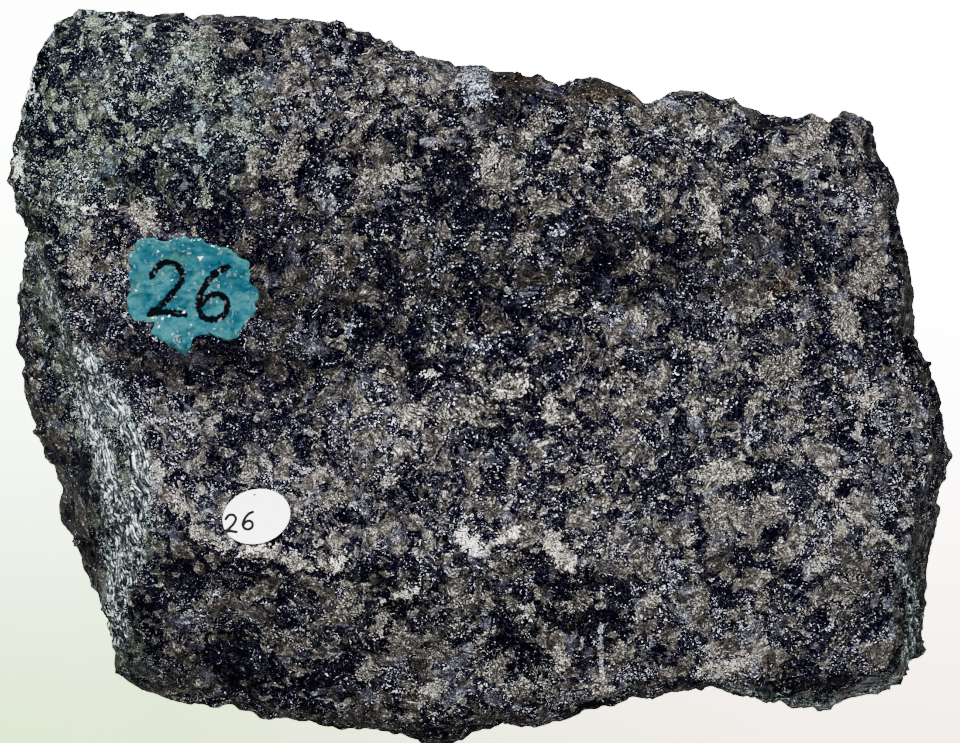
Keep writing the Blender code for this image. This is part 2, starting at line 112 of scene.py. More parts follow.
def facets(points: np.ndarray, size: float, seed: int, crispness: float = 60.0) -> np.ndarray:
    """Height of a surface broken into cells, each with a step and a lean of its own.

    The height is step + lean . (point - middle) / size of the nearest cell's middle. Near a border the cells
    share the point by exp(-crispness * (their squared distance - the nearest one's) / size squared).

    Args:
        points: n x 3 places.
        size: how far apart the cells' middles are.
        seed: which pattern.
        crispness: how sharply one cell gives way to the next.

    Returns:
        Heights, mostly from -1.5 to 1.5.
    """
    cell = np.floor(points / size)
    distances = []
    heights = []
    for offset in itertools.product((-1, 0, 1), repeat=3):
        near = cell + offset
        middle = (near + np.stack([chance(near, seed + i) for i in range(3)], axis=1)) * size
        away = points - middle
        lean = 2 * np.stack([chance(near, seed + i) for i in range(3, 6)], axis=1) - 1
        distances.append((away**2).sum(axis=1) / size**2)
        heights.append(2 * chance(near, seed + 6) - 1 + (away * lean).sum(axis=1) / size)
    distances = np.array(distances)
    weights = np.exp(-crispness * (distances - distances.min(axis=0)))
    return (weights * heights).sum(axis=0) / weights.sum(axis=0)


def swell(points: np.ndarray, size: float, seed: int) -> np.ndarray:
    """Smooth noise from -1 to 1 that changes over about this size.

    Args:
        points: n x 3 places.
        size: the side of the noise's cubes.
        seed: which pattern.

    Returns:
        The chances of the 8 corners of each point's cube, blended with weights 3t^2 - 2t^3.
    """
    scaled = points / size
    cell = np.floor(scaled)
    part = scaled - cell
    part = part * part * (3 - 2 * part)
    total = np.zeros(len(points))
    for corner in itertools.product((0, 1), repeat=3):
        weight = np.prod(np.where(np.array(corner) == 1, part, 1 - part), axis=1)
        total += weight * (2 * chance(cell + corner, seed) - 1)
    return total


def bell(distance: np.ndarray, reach: float) -> np.ndarray:
    """1 in the middle, falling smoothly to 0 at this distance: (1 - (distance / reach)^2)^2."""
    return np.clip(1 - (distance / reach) ** 2, 0, 1) ** 2


def from_path(plan: np.ndarray, path: np.ndarray) -> np.ndarray:
    """How far points of the plan are from a path of straight stretches.

    Args:
        plan: n x 2 places.
        path: m x 2 corners.

    Returns:
        The distance to the nearest stretch, each measured from the point's foot on it.
    """
    nearest = np.full(len(plan), np.inf)
    for start, end in zip(path, path[1:]):
        along = end - start
        share = np.clip(((plan - start) @ along) / max(along @ along, 1e-9), 0, 1)
        nearest = np.minimum(nearest, np.linalg.norm(plan - start - share[:, None] * along, axis=1))
    return nearest


def curve_through(corners: np.ndarray, steps: int) -> np.ndarray:
    """A smooth curve through the corners, by the Catmull-Rom formula.

    Args:
        corners: m x 2 places that the curve passes through.
        steps: how many points each stretch gets.

    Returns:
        The points of the curve, in order.
    """
    ends = np.concatenate([corners[:1] * 2 - corners[1:2], corners, corners[-1:] * 2 - corners[-2:-1]])
    t = np.linspace(0, 1, steps, endpoint=False)[:, None]
    stretches = [
        0.5 * (2 * b + (c - a) * t + (2 * a - 5 * b + 4 * c - d) * t**2 + (3 * b - a - 3 * c + d) * t**3)
        for a, b, c, d in zip(ends, ends[1:], ends[2:], ends[3:])
    ]
    return np.concatenate([*stretches, corners[-1:]])


# The stone's form


@dataclass
class StoneForm:
    """The plain form of the stone, the same as that of its solid, worked out on finer grids.

    A ring of points runs round the outline. The upper face and the underside are grids filled in between
    rings that stand back from it, and the wall is rows of rings between those.
    """

    upper_edge: tuple[Place, ...] = (
        (-49.1, 39.3), (-47.0, 40.5), (-45.6, 41.3), (-39.7, 41.1), (-34.1, 40.7), (-25.6, 40.2),
        (-17.1, 39.7), (-12.7, 39.5), (-11.1, 38.8), (-9.4, 36.7), (-6.6, 36.0), (-3.4, 35.0),
        (0.3, 34.7), (4.9, 33.9), (8.9, 32.4), (10.5, 33.7), (14.3, 33.7), (17.2, 32.3), (19.0, 31.2),
        (21.6, 32.0), (25.5, 32.3), (27.0, 31.3), (28.7, 31.3), (31.3, 30.0), (33.6, 29.2), (36.2, 28.8),
        (37.6, 29.8), (40.1, 29.0), (41.1, 29.9),
    )
    right_edge: tuple[Place, ...] = (
        (44.4, 29.3), (45.2, 25.4), (47.2, 21.6), (47.7, 16.5), (48.7, 10.8), (48.4, 4.8), (49.8, 2.5),
        (52.0, -1.0), (52.8, -4.2), (52.7, -7.0), (53.4, -9.1), (52.3, -12.1), (51.4, -16.9),
        (50.5, -20.8), (50.6, -23.1), (50.5, -29.2), (50.4, -31.3), (49.2, -33.2),
    )
    lower_edge: tuple[Place, ...] = (
        (48.3, -35.5), (46.1, -36.0), (41.9, -37.1), (39.5, -37.5), (36.4, -37.9), (33.2, -37.2),
        (31.7, -36.2), (29.7, -36.5), (26.5, -35.3), (20.9, -35.8), (16.8, -36.1), (13.0, -37.3),
        (9.6, -38.6), (6.1, -39.4), (2.2, -38.9), (-0.9, -39.8), (-2.5, -41.0), (-5.7, -41.3),
        (-8.9, -40.6), (-16.0, -40.0), (-23.8, -39.2), (-27.1, -38.4), (-35.1, -36.8), (-38.9, -35.5),
        (-41.5, -33.6),
    )
    left_edge: tuple[Place, ...] = (
        (-42.6, -31.2), (-43.4, -27.4), (-45.3, -21.9), (-47.0, -17.0), (-48.1, -12.2), (-50.7, -6.6),
        (-52.2, -2.1), (-52.9, 3.2), (-53.2, 5.5), (-52.8, 9.7), (-51.9, 13.7), (-51.6, 15.8),
        (-52.8, 18.0), (-53.4, 22.0), (-53.1, 26.7), (-52.2, 31.8), (-50.7, 35.6),
    )
    # Along the wall: x, y, how far its rim stands back, the height at the outline and how far its foot stands
    # back.
    wall_stations: tuple[Numbers, ...] = (
        (-48.0, 40.0, 2.2, 24.0, 5.0),
        (-30.0, 40.5, 1.0, 26.0, 4.0),
        (-12.7, 39.5, 1.3, 25.0, 5.0),
        (0.3, 34.7, 1.6, 24.0, 3.0),
        (19.0, 31.2, 1.1, 26.0, 4.0),
        (36.2, 28.8, 1.3, 24.0, 5.5),
        (44.4, 29.3, 1.8, 20.0, 6.0),
        (48.7, 10.8, 1.4, 19.0, 4.0),
        (52.0, -1.0, 2.0, 17.0, 5.0),
        (52.3, -12.1, 2.0, 15.0, 6.0),
        (50.6, -23.1, 2.6, 14.0, 4.5),
        (49.2, -33.2, 2.8, 15.0, 6.0),
        (36.4, -37.9, 2.4, 17.0, 6.0),
        (24.0, -35.5, 1.0, 21.0, 4.0),
        (6.1, -39.4, 1.0, 19.0, 5.0),
        (-5.7, -41.3, 1.3, 18.0, 7.0),
        (-23.8, -39.2, 1.8, 17.0, 5.0),
        (-38.6, -35.0, 2.2, 16.0, 6.0),
        (-42.8, -27.3, 2.4, 14.0, 6.0),
        (-46.6, -16.9, 5.6, 12.0, 5.5),
        (-50.3, -6.6, 7.2, 11.0, 4.0),
        (-52.4, 3.2, 5.8, 12.0, 4.5),
        (-51.7, 13.7, 3.2, 17.0, 6.0),
        (-53.4, 22.0, 2.0, 22.0, 6.5),
        (-52.2, 31.8, 2.2, 24.0, 6.0),
    )
    # At each x: (y, height) at the rim, the plateau's lip, the hollow, the shoulder, the crest and the lower
    # rim.
    cross_sections: tuple[tuple[float, tuple[Place, ...]], ...] = (
        (-50.0, ((38.0, 28.5), (20.0, 29.0), (8.0, 27.5), (0.0, 27.0), (-10.0, 27.0), (-30.0, 20.0))),
        (-44.0, ((39.0, 31.5), (19.0, 32.5), (6.0, 31.0), (-4.0, 30.0), (-14.0, 30.5), (-32.0, 21.5))),
        (-38.0, ((40.0, 34.0), (18.0, 33.6), (2.0, 29.8), (-7.0, 31.0), (-16.0, 34.2), (-34.0, 22.5))),
        (-31.0, ((40.5, 34.8), (17.0, 33.4), (0.0, 28.4), (-10.5, 30.6), (-18.5, 36.2), (-36.0, 23.5))),
        (-24.0, ((40.0, 35.0), (16.0, 33.2), (-1.0, 28.4), (-12.0, 31.0), (-20.5, 37.0), (-38.0, 24.5))),
        (-13.0, ((39.0, 34.6), (15.0, 32.8), (2.0, 29.6), (-12.0, 32.6), (-21.5, 37.0), (-39.0, 25.5))),
        (0.0, ((34.5, 33.6), (15.0, 32.4), (6.0, 30.4), (-10.0, 33.8), (-20.0, 36.4), (-38.5, 27.0))),
        (13.0, ((33.0, 33.0), (15.0, 32.0), (8.5, 30.6), (-8.0, 33.6), (-20.5, 36.0), (-37.0, 28.5))),
        (27.0, ((31.5, 32.6), (15.0, 31.8), (9.0, 30.6), (-6.0, 32.8), (-19.0, 35.2), (-35.5, 31.0))),
        (40.0, ((29.0, 31.4), (16.0, 31.8), (9.5, 31.2), (-4.0, 32.6), (-17.0, 34.6), (-36.0, 31.2))),
        (51.0, ((26.0, 30.0), (14.0, 30.6), (6.0, 30.8), (-5.0, 31.4), (-14.0, 32.0), (-33.0, 29.6))),
    )
    # Flat breaks that cut the walls: x, y, z, the bearing that each faces and how far it faces down, in
    # degrees.
    flat_breaks: tuple[Numbers, ...] = (
        (-47.0, -14.0, 7.5, 196.0, 38.0),
        (-44.5, 20.0, 6.5, 170.0, 48.0),
        (-40.0, -30.0, 8.5, 232.0, 40.0),
        (-17.0, -37.0, 8.0, 262.0, 40.0),
        (12.0, -35.0, 7.5, 283.0, 46.0),
        (37.0, -33.5, 9.0, 291.0, 36.0),
        (47.5, -16.0, 8.5, 350.0, 44.0),
        (45.5, 12.0, 7.5, 14.0, 36.0),
        (36.0, 25.5, 8.5, 66.0, 42.0),
        (10.0, 30.5, 8.5, 82.0, 34.0),
        (-20.0, 36.5, 8.0, 96.0, 44.0),
        (-42.0, 37.0, 12.0, 128.0, 30.0),
    )
    # How far back from the outline a ring is calm, and over what length its calm form and its trend are
    # averaged.
    calm_after: float = 4.0
    calm_reach: float = 7.2
    trend_reach: float = 12.0
    # How far the height of the waist wanders, and how the wall bulges above and below it.
    waist_wander: float = 4.5
    waist_wander_size: float = 12.0
    waist_seed: int = 7
    bulge_above: float = 1.5
    bulge_below: float = 1.6
    flat_spot_middle: Place = (1.0, -2.0)
    flat_spot_reach: Place = (24.0, 17.0)
    underside_rise: float = 0.15
    # How far along the upper face its bends are rounded.
    rounding: float = 1.6
    # Small teeth of the outline: how far they reach, their size, their seed, and how far apart the patterns
    # of the two directions lie.
    ragged: float = 0.3
    ragged_size: float = 1.3
    ragged_seed: int = 23
    ragged_apart: float = 50.0
    # The share of the wall beside the waist where the roughness is less, and what is left of it there.
    near_waist: float = 0.2
    quiet: float = 0.2
    # Cells along and across the upper face. The underside has half as many each way.
    columns: int = 264
    rows: int = 198
    wall_rows_above: int = 22
    wall_rows_below: int = 18

    def outline(self, columns: int, rows: int) -> np.ndarray:
        """Points round the outline, clockwise from the upper left corner, evenly spread along each edge.

        Args:
            columns: points along the upper and lower edges.
            rows: points along the right and left edges.

        Returns:
            2 x (columns + rows) points.
        """
        edges = (self.upper_edge, self.right_edge, self.lower_edge, self.left_edge)
        parts = []
        for i, (edge, cells) in enumerate(zip(edges, (columns, rows, columns, rows))):
            path = np.array([*edge, edges[(i + 1) % 4][0]])
            reached = np.concatenate([[0], np.cumsum(np.linalg.norm(np.diff(path, axis=0), axis=1))])
            wanted = np.linspace(0, reached[-1], cells, endpoint=False)
            parts.append(np.stack([np.interp(wanted, reached, path[:, axis]) for axis in range(2)], axis=1))
        ring = np.concatenate(parts)
        teeth = [
            swell(
                np.column_stack([ring, np.full(len(ring), self.ragged_apart * axis)]),
                self.ragged_size,
                self.ragged_seed,
            )
            for axis in range(2)
        ]
        return ring + self.ragged * np.stack(teeth, axis=1)

    @staticmethod
    def smoothed(ring: np.ndarray, reach: float) -> np.ndarray:
        """Calms a ring.

        Args:
            ring: its points.
            reach: how far along it the mean is taken, both ways.

        Returns:
            The ring with each point replaced by the mean of those within reach.
        """
        spacing = np.linalg.norm(np.roll(ring, -1, axis=0) - ring, axis=1).mean()
        steps = round(reach / spacing)
        return np.mean([np.roll(ring, step, axis=0) for step in range(-steps, steps + 1)], axis=0)

    def set_back(self, ring: np.ndarray, distance: np.ndarray) -> np.ndarray:
        """The ring moved inwards, losing more of its raggedness the further it goes.

        Args:
            ring: the outline's points.
            distance: how far each goes in.

        Returns:
            ring + (calm ring - ring) x distance / calm_after, moved square to the outline's trend.
        """
        calm = self.smoothed(ring, self.calm_reach)
        trend = self.smoothed(ring, self.trend_reach)
        along = np.roll(trend, -1, axis=0) - np.roll(trend, 1, axis=0)
        inwards = np.stack([along[:, 1], -along[:, 0]], axis=1)
        inwards /= np.linalg.norm(inwards, axis=1, keepdims=True)
        share = np.clip(distance / self.calm_after, 0, 1)[:, None]
        return ring * (1 - share) + calm * share + inwards * distance[:, None]

    def wall_values(self, ring: np.ndarray) -> list[np.ndarray]:
        """What the wall stations say, at each point of the ring.

        Args:
            ring: the outline's points.

        Returns:
            Rim distance, outline height and foot distance, straight between the stations along the ring.
        """
        stations = np.array(self.wall_stations)
        steps = np.linalg.norm(np.roll(ring, -1, axis=0) - ring, axis=1)
        reached = np.concatenate([[0], np.cumsum(steps)[:-1]])
        nearest = [np.linalg.norm(ring - station[:2], axis=1).argmin() for station in stations]
        return [
            np.interp(reached, reached[nearest], stations[:, column], period=steps.sum())
            for column in (2, 3, 4)
        ]

    @staticmethod
    def filled(ring: np.ndarray, columns: int, rows: int) -> np.ndarray:
        """A grid of points inside a ring, blended between its four edges (a Coons patch).

        Args:
            ring: 2 x (columns + rows) points, clockwise from the upper left corner.
            columns: cells along the grid.
            rows: cells down it.

        Returns:
            (rows + 1) x (columns + 1) points: the blend of left and right, plus that of upper and lower, less
            that of the corners.
        """
        upper = ring[: columns + 1]
        right = ring[columns : columns + rows + 1]
        lower = ring[columns + rows : 2 * columns + rows + 1][::-1]
        left = np.concatenate([ring[2 * columns + rows :], ring[:1]])[::-1]
        across = np.linspace(0, 1, columns + 1)[None, :, None]
        down = np.linspace(0, 1, rows + 1)[:, None, None]
        between_edges = (1 - down) * upper + down * lower
        between_edges = between_edges + (1 - across) * left[:, None] + across * right[:, None]
        upper_corners = (1 - across) * upper[0] + across * upper[-1]
        lower_corners = (1 - across) * lower[0] + across * lower[-1]
        return between_edges - (1 - down) * upper_corners - down * lower_corners

    def upper_height(self, plan: np.ndarray) -> np.ndarray:
        """Height of the upper face.

        Args:
            plan: places in plan, in an array of any shape.

        Returns:
            Heights, straight between the cross-sections and between the places on each.
        """
        x, y = plan[..., 0], plan[..., 1]
        at = [section[0] for section in self.cross_sections]
        places = np.array([section[1] for section in self.cross_sections])
        where = [np.interp(x, at, places[:, i, 0]) for i in range(places.shape[1])]
        height = [np.interp(x, at, places[:, i, 1]) for i in range(places.shape[1])]
        total = height[0]
        for upper, lower, high, low in zip(where, where[1:], height, height[1:]):
            total = total + (low - high) * np.clip((upper - y) / (upper - lower), 0, 1)
        return total

    def outside_flat_spot(self, plan: np.ndarray) -> np.ndarray:
        """Distance outside the oval flat spot, about 0 or less on it."""
        away = (plan - self.flat_spot_middle) / self.flat_spot_reach
        return (np.hypot(away[..., 0], away[..., 1]) - 1) * min(self.flat_spot_reach)

    def with_flat_breaks(self, points: np.ndarray) -> np.ndarray:
        """Cuts the flat breaks.

        Args:
            points: n x 3 places.

        Returns:
            The points, with those that stand past a flat break brought back to it, square to it.
        """
        points = points.copy()
        for x, y, z, bearing, down in self.flat_breaks:
            turn, dip = np.radians(bearing), np.radians(down)
            facing = np.array([np.cos(turn) * np.cos(dip), np.sin(turn) * np.cos(dip), -np.sin(dip)])
            past = np.maximum((points - (x, y, z)) @ facing, 0)
            points -= past[:, None] * facing
        return points

    @staticmethod
    def border(columns: int, rows: int) -> np.ndarray:
        """Where the ring's points are in a grid, counted row by row."""
        index = np.arange((rows + 1) * (columns + 1)).reshape(rows + 1, columns + 1)
        return np.concatenate([index[0, :-1], index[:-1, -1], index[-1, :0:-1], index[:0:-1, 0]])

    @staticmethod
    def grid_triangles(columns: int, rows: int, turned: bool) -> np.ndarray:
        """The triangles of a grid.

        Args:
            columns: cells along it.
            rows: cells down it.
            turned: whether they face down.

        Returns:
            m x 3 corners, two triangles to a cell.
        """
        index = np.arange((rows + 1) * (columns + 1)).reshape(rows + 1, columns + 1)
        a, b = index[:-1, :-1], index[1:, :-1]
        c, d = index[1:, 1:], index[:-1, 1:]
        triangles = np.concatenate([np.stack(t, axis=-1).reshape(-1, 3) for t in ((a, b, c), (a, c, d))])
        return triangles[:, ::-1] if turned else triangles

    @staticmethod
    def band(above: np.ndarray, below: np.ndarray) -> np.ndarray:
        """The triangles between two rings of as many points.

        Args:
            above: numbers of the upper ring's points.
            below: numbers of the lower ring's points.

        Returns:
            m x 3 corners, two triangles to a stretch.
        """
        next_above, next_below = np.roll(above, -1), np.roll(below, -1)
        first = np.stack([above, next_above, next_below], axis=1)
        second = np.stack([above, next_below, below], axis=1)
        return np.concatenate([first, second])

    @staticmethod
    def thinning_band(above: np.ndarray, below: np.ndarray) -> np.ndarray:
        """The triangles between a ring and one of half as many points.

        Args:
            above: numbers of the upper ring's points.
            below: numbers of the lower ring's points.

        Returns:
            m x 3 corners, three triangles to each lower stretch.
        """
        even, odd, after = above[::2], above[1::2], np.roll(above[::2], -1)
        next_below = np.roll(below, -1)
        return np.concatenate([
            np.stack([even, odd, below], axis=1),
            np.stack([odd, next_below, below], axis=1),
            np.stack([odd, after, next_below], axis=1),
        ])

    def softened(self, height: np.ndarray, spacing: float) -> np.ndarray:
        """Rounds the bends of a grid of heights.

        Args:
            height: the grid.
            spacing: how far apart its points are.

        Returns:
            Each height replaced by the mean of a small square.
        """
        steps = max(round(self.rounding / spacing), 1)
        for axis in (0, 1):
            pad = [(steps, steps) if i == axis else (0, 0) for i in (0, 1)]
            padded = np.pad(height, pad, mode="reflect", reflect_type="odd")
            window = np.lib.stride_tricks.sliding_window_view(padded, 2 * steps + 1, axis=axis)
            height = window.mean(axis=-1)
        return height

    def build(self) -> dict[str, np.ndarray]:
        """Works out the whole plain form.

        Returns:
            "points" and "triangles" of the closed form; "fine" and "broad", the share of the fine and the
            broad roughness that each point takes; and "under", which is True on the underside's grid.
        """
        ring = self.outline(self.columns, self.rows)
        rim_back, waist, foot_back = self.wall_values(ring)
        waist = waist + self.waist_wander * swell(
            np.column_stack([ring, waist]), self.waist_wander_size, self.waist_seed
        )
        half_columns, half_rows = self.columns // 2, self.rows // 2

        plan = self.filled(self.set_back(ring, rim_back), self.columns, self.rows)
        spacing = (self.upper_edge[-1][0] - self.upper_edge[0][0]) / self.columns
        height = self.softened(self.upper_height(plan), spacing)
        upper = np.concatenate([plan, height[..., None]], axis=-1).reshape(-1, 3)

        plan = self.filled(self.set_back(ring, foot_back)[::2], half_columns, half_rows)
        height = self.underside_rise * np.maximum(self.outside_flat_spot(plan), 0)
        under = np.concatenate([plan, height[..., None]], axis=-1).reshape(-1, 3)

        rim = upper[self.border(self.columns, self.rows)]
        foot = under[self.border(half_columns, half_rows)]
        above, below = [], []
        shares_above = np.arange(1, self.wall_rows_above + 1) / self.wall_rows_above
        for share in shares_above:
            plan = self.set_back(ring, rim_back * (1 - share) ** self.bulge_above)
            above.append(np.column_stack([plan, rim[:, 2] + (waist - rim[:, 2]) * share]))
        shares_below = np.arange(1, self.wall_rows_below) / self.wall_rows_below
        for share in shares_below:
            plan = self.set_back(ring, foot_back * share**self.bulge_below)[::2]
            below.append(np.column_stack([plan, waist[::2] + (foot[:, 2] - waist[::2]) * share]))

        points = np.concatenate([upper, *above, *below, under])
        whole, half = len(ring), len(ring) // 2
        loops_above = [self.border(self.columns, self.rows)]
        loops_above += [len(upper) + i * whole + np.arange(whole) for i in range(len(above))]
        first_below = len(upper) + len(above) * whole
        first_under = len(points) - len(under)
        loops_below = [first_below + i * half + np.arange(half) for i in range(len(below))]
        loops_below += [first_under + self.border(half_columns, half_rows)]
        triangles = [self.grid_triangles(self.columns, self.rows, False)]
        triangles += [self.band(a, b) for a, b in zip(loops_above, loops_above[1:])]
        triangles += [self.thinning_band(loops_above[-1], loops_below[0])]
        triangles += [self.band(a, b) for a, b in zip(loops_below, loops_below[1:])]
        triangles += [first_under + self.grid_triangles(half_columns, half_rows, True)]

        near_waist, quiet = self.near_waist, self.quiet
        fine = np.ones(len(points))
        broad = np.zeros(len(points))
        for loop, share in zip(loops_above[1:], shares_above):
            fine[loop] = quiet + (1 - quiet) * min((1 - share) / near_waist, 1)
            broad[loop] = min(share / near_waist, (1 - share) / near_waist, 1)
        for loop, share in zip(loops_below[:-1], shares_below):
            fine[loop] = quiet + (1 - quiet) * min(share / near_waist, 1)
            broad[loop] = min(share / near_waist, 1)
        broad[first_under:] = 1
        is_under = np.arange(len(points)) >= first_under
        return {
            "points": self.with_flat_breaks(points),
            "triangles": np.concatenate(triangles),
            "fine": fine,
            "broad": broad,
            "under": is_under,
        }


def smooth_normals(points: np.ndarray, triangles: np.ndarray, rounds: int, pull: float = 0.5) -> np.ndarray:
    """Normals at the points, averaged again and again with those of their neighbours.

    Args:
        points: n x 3 places.
        triangles: m x 3 corners.
        rounds: how many times they are averaged.
        pull: how strongly the neighbours count.

    Returns:
        n x 3 unit normals.
    """
    count = len(points)

    def gathered(values: np.ndarray, at: np.ndarray) -> np.ndarray:
        """The sum of the values that fall on each point."""
        return np.stack([np.bincount(at, values[:, i], minlength=count) for i in range(3)], axis=1)

    a, b, c = (points[triangles[:, i]] for i in range(3))
    facing = np.cross(b - a, c - a)
    normals = sum(gathered(facing, triangles[:, i]) for i in range(3))
    start = triangles.ravel()
    end = np.roll(triangles, -1, axis=1).ravel()
    for _ in range(rounds):
        normals /= np.linalg.norm(normals, axis=1, keepdims=True)
        normals = normals + pull * (gathered(normals[end], start) + gathered(normals[start], end)) / 3
    return normals / np.linalg.norm(normals, axis=1, keepdims=True)


@dataclass
class Break:
    """The roughness of the broken surface: how far it stands out of the plain form at each point."""

    facet_size: float = 8.0
    facet_depth: float = 0.45
    facet_seed: int = 3
    swell_size: float = 13.0
    swell_depth: float = 0.5
    swell_seed: int = 11
    broad_size: float = 15.0
    broad_depth: float = 0.9
    broad_cut: float = 0.45
    broad_seed: int = 5
    wall_stands_out: float = 0.55
    # Facets the size of crystals, finer than those of the solid: size, depth and seed.
    crystal_facets: tuple[tuple[float, float, int], ...] = (
        (3.4, 0.28, 31), (1.7, 0.17, 37), (0.9, 0.09, 41),
    )
    crystal_crispness: float = 25.0
    # How far a point is carried aside before the facets are read, so that their borders are not straight, and
    # how far apart the patterns of the three directions lie.
    waver: float = 1.1
    waver_size: float = 2.6
    waver_seed: int = 53
    waver_apart: float = 90.0
    upper_face_above: float = 26.0
    folds_above: float = 13.0
    # How far round a smooth place the break and its crystals are back in full.
    rough_after: float = 5.0
    crystals_after: float = 1.5
    # Scars where flakes came off: x, y, z, radius and depth.
    flake_scars: tuple[Numbers, ...] = (
        (-52.5, 14.5, 24.0, 7.0, 1.6),
        (-44.0, 42.0, 12.0, 13.0, 2.4),
        (-7.5, 37.0, 34.0, 6.0, 1.2),
        (34.5, 28.5, 32.0, 6.0, 1.1),
        (22.0, 34.0, 10.0, 12.0, 2.2),
        (52.0, 8.0, 12.0, 11.0, 2.0),
        (46.0, -37.0, 27.0, 7.0, 1.2),
        (-10.0, -42.0, 7.0, 13.0, 2.4),
        (-45.0, -30.0, 6.0, 11.0, 2.0),
        (30.0, -30.0, 0.0, 14.0, 2.0),
        (-36.0, 24.0, 0.0, 15.0, 2.2),
    )
    # Ledges in the wall: x, y, height of the step, depth and half length.
    ledges: tuple[Numbers, ...] = (
        (50.5, -26.0, 25.5, 1.3, 8.0),
        (37.0, -38.0, 26.0, 1.5, 8.0),
        (-50.0, -5.0, 21.0, 1.2, 11.0),
        (-40.0, 41.0, 28.5, 0.9, 12.0),
        (10.0, 33.0, 28.0, 0.9, 13.0),
    )
    ledge_rise: float = 1.6
    # Layered breaks, like a pile of thin sheets: x, y, reach, the sheets' thickness and how far each steps
    # out, and how steeply the sheets rise along x.
    terraces: tuple[Numbers, ...] = (
        (49.5, -27.0, 8.5, 1.5, 0.55),
        (33.0, -36.5, 7.0, 1.3, 0.45),
        (-45.0, -6.0, 9.0, 1.9, 0.4),
    )
    terrace_slope: float = 0.35
    # Ridges and troughs along paths: how far they reach, their height, and the path in pixels of the
    # photograph.
    folds: tuple[tuple[float, float, tuple[Place, ...]], ...] = (
        (3.4, 0.5, ((140, 336), (220, 334), (300, 338), (400, 352))),
        (4.6, -1.1, ((150, 386), (230, 394), (330, 392), (430, 398))),
        (1.5, 0.6, (
            (58, 240), (66, 290), (78, 340), (98, 380), (122, 425), (140, 470), (132, 540), (118, 600),
        )),
        (1.3, 0.5, ((75, 330), (88, 400), (100, 450), (110, 510), (104, 570), (98, 610))),
        (1.1, -0.5, ((88, 360), (108, 410), (124, 460), (120, 520), (112, 570))),
        (1.6, 0.4, ((147, 440), (160, 480), (186, 524), (225, 550), (300, 558), (345, 567))),
    )
    # Smooth places, where films lie: middle, radius and the share of the crystal facets that is left there.
    smooth_places: tuple[tuple[Place, float, float], ...] = (
        ((-32.8, 9.5), 7.0, 0.6),
        ((-25.4, -15.9), 4.0, 0.12),
    )

    def relief(self, points: np.ndarray, fine: np.ndarray, broad: np.ndarray) -> np.ndarray:
        """How far the break stands out at each point.

        Args:
            points: n x 3 places on the plain form.
            fine: the share of the fine roughness that each takes.
            broad: the share of the broad facets, which only cut into the walls and the underside.

        Returns:
            Facets and swell as on the solid, plus crystal facets, less scars, ledges and terraces.
        """
        aside = [
            swell(points + self.waver_apart * (axis + 1), self.waver_size, self.waver_seed + axis)
            for axis in range(3)
        ]
        wavering = points + self.waver * np.stack(aside, axis=1)
        relief = fine * self.facet_depth * facets(wavering, self.facet_size, self.facet_seed)
        relief += fine * self.swell_depth * swell(points, self.swell_size, self.swell_seed)
        cuts = facets(wavering, self.broad_size, self.broad_seed) - self.broad_cut
        relief += broad * self.broad_depth * cuts
        relief = np.where(broad > 0, np.minimum(relief, self.wall_stands_out), relief)
        on_top = points[:, 2] > self.upper_face_above
        crystals = sum(
            depth * facets(wavering, size, seed, self.crystal_crispness)
            for size, depth, seed in self.crystal_facets
        )
        for middle, radius, left in self.smooth_places:
            away = np.linalg.norm(points[:, :2] - middle, axis=1)
            relief *= np.where(on_top, np.clip((away - radius) / self.rough_after, 0, 1), 1)
            back = np.clip((away - radius) / self.crystals_after, 0, 1)
            crystals *= np.where(on_top, left + (1 - left) * back, 1)
        relief += crystals
        for x, y, z, radius, depth in self.flake_scars:
            relief -= depth * bell(np.linalg.norm(points - (x, y, z), axis=1), radius)
        for x, y, level, depth, half_length in self.ledges:
            away = np.linalg.norm(points[:, :2] - (x, y), axis=1)
            above = np.clip((points[:, 2] - level) / self.ledge_rise, 0, 1)
            relief -= depth * above * bell(away, half_length)
        for x, y, reach, thickness, step in self.terraces:
            away = np.linalg.norm(points[:, :2] - (x, y), axis=1)
            layer = (wavering[:, 2] + self.terrace_slope * wavering[:, 0]) / thickness
            relief -= step * (layer - np.floor(layer)) * bell(away, reach)
        for reach, height, path in self.folds:
            away = from_path(points[:, :2], in_plan(np.array(path)))
            relief += np.where(on_top | (points[:, 2] > self.folds_above), height * bell(away, reach), 0)
        return relief


# Marks on the stone's face


class Mark(Enum):
    """A kind of mark on the face. The value is the name of its vertex attribute."""

    CREAM = "cream"
    TAUPE = "taupe"
    WHITE = "white"
    BLUE = "blue"
    GREEN = "green"
    BROWN = "brown"
    DARK = "dark"
    # Painted shade over the hollows, on ground that is partly darker too.
    PAINTED_SHADE_AND_DARK_GROUND = "painted_shade_and_dark_ground"
    CRUSHED = "crushed"
    RUST = "rust"
    SCRATCH = "scratch"


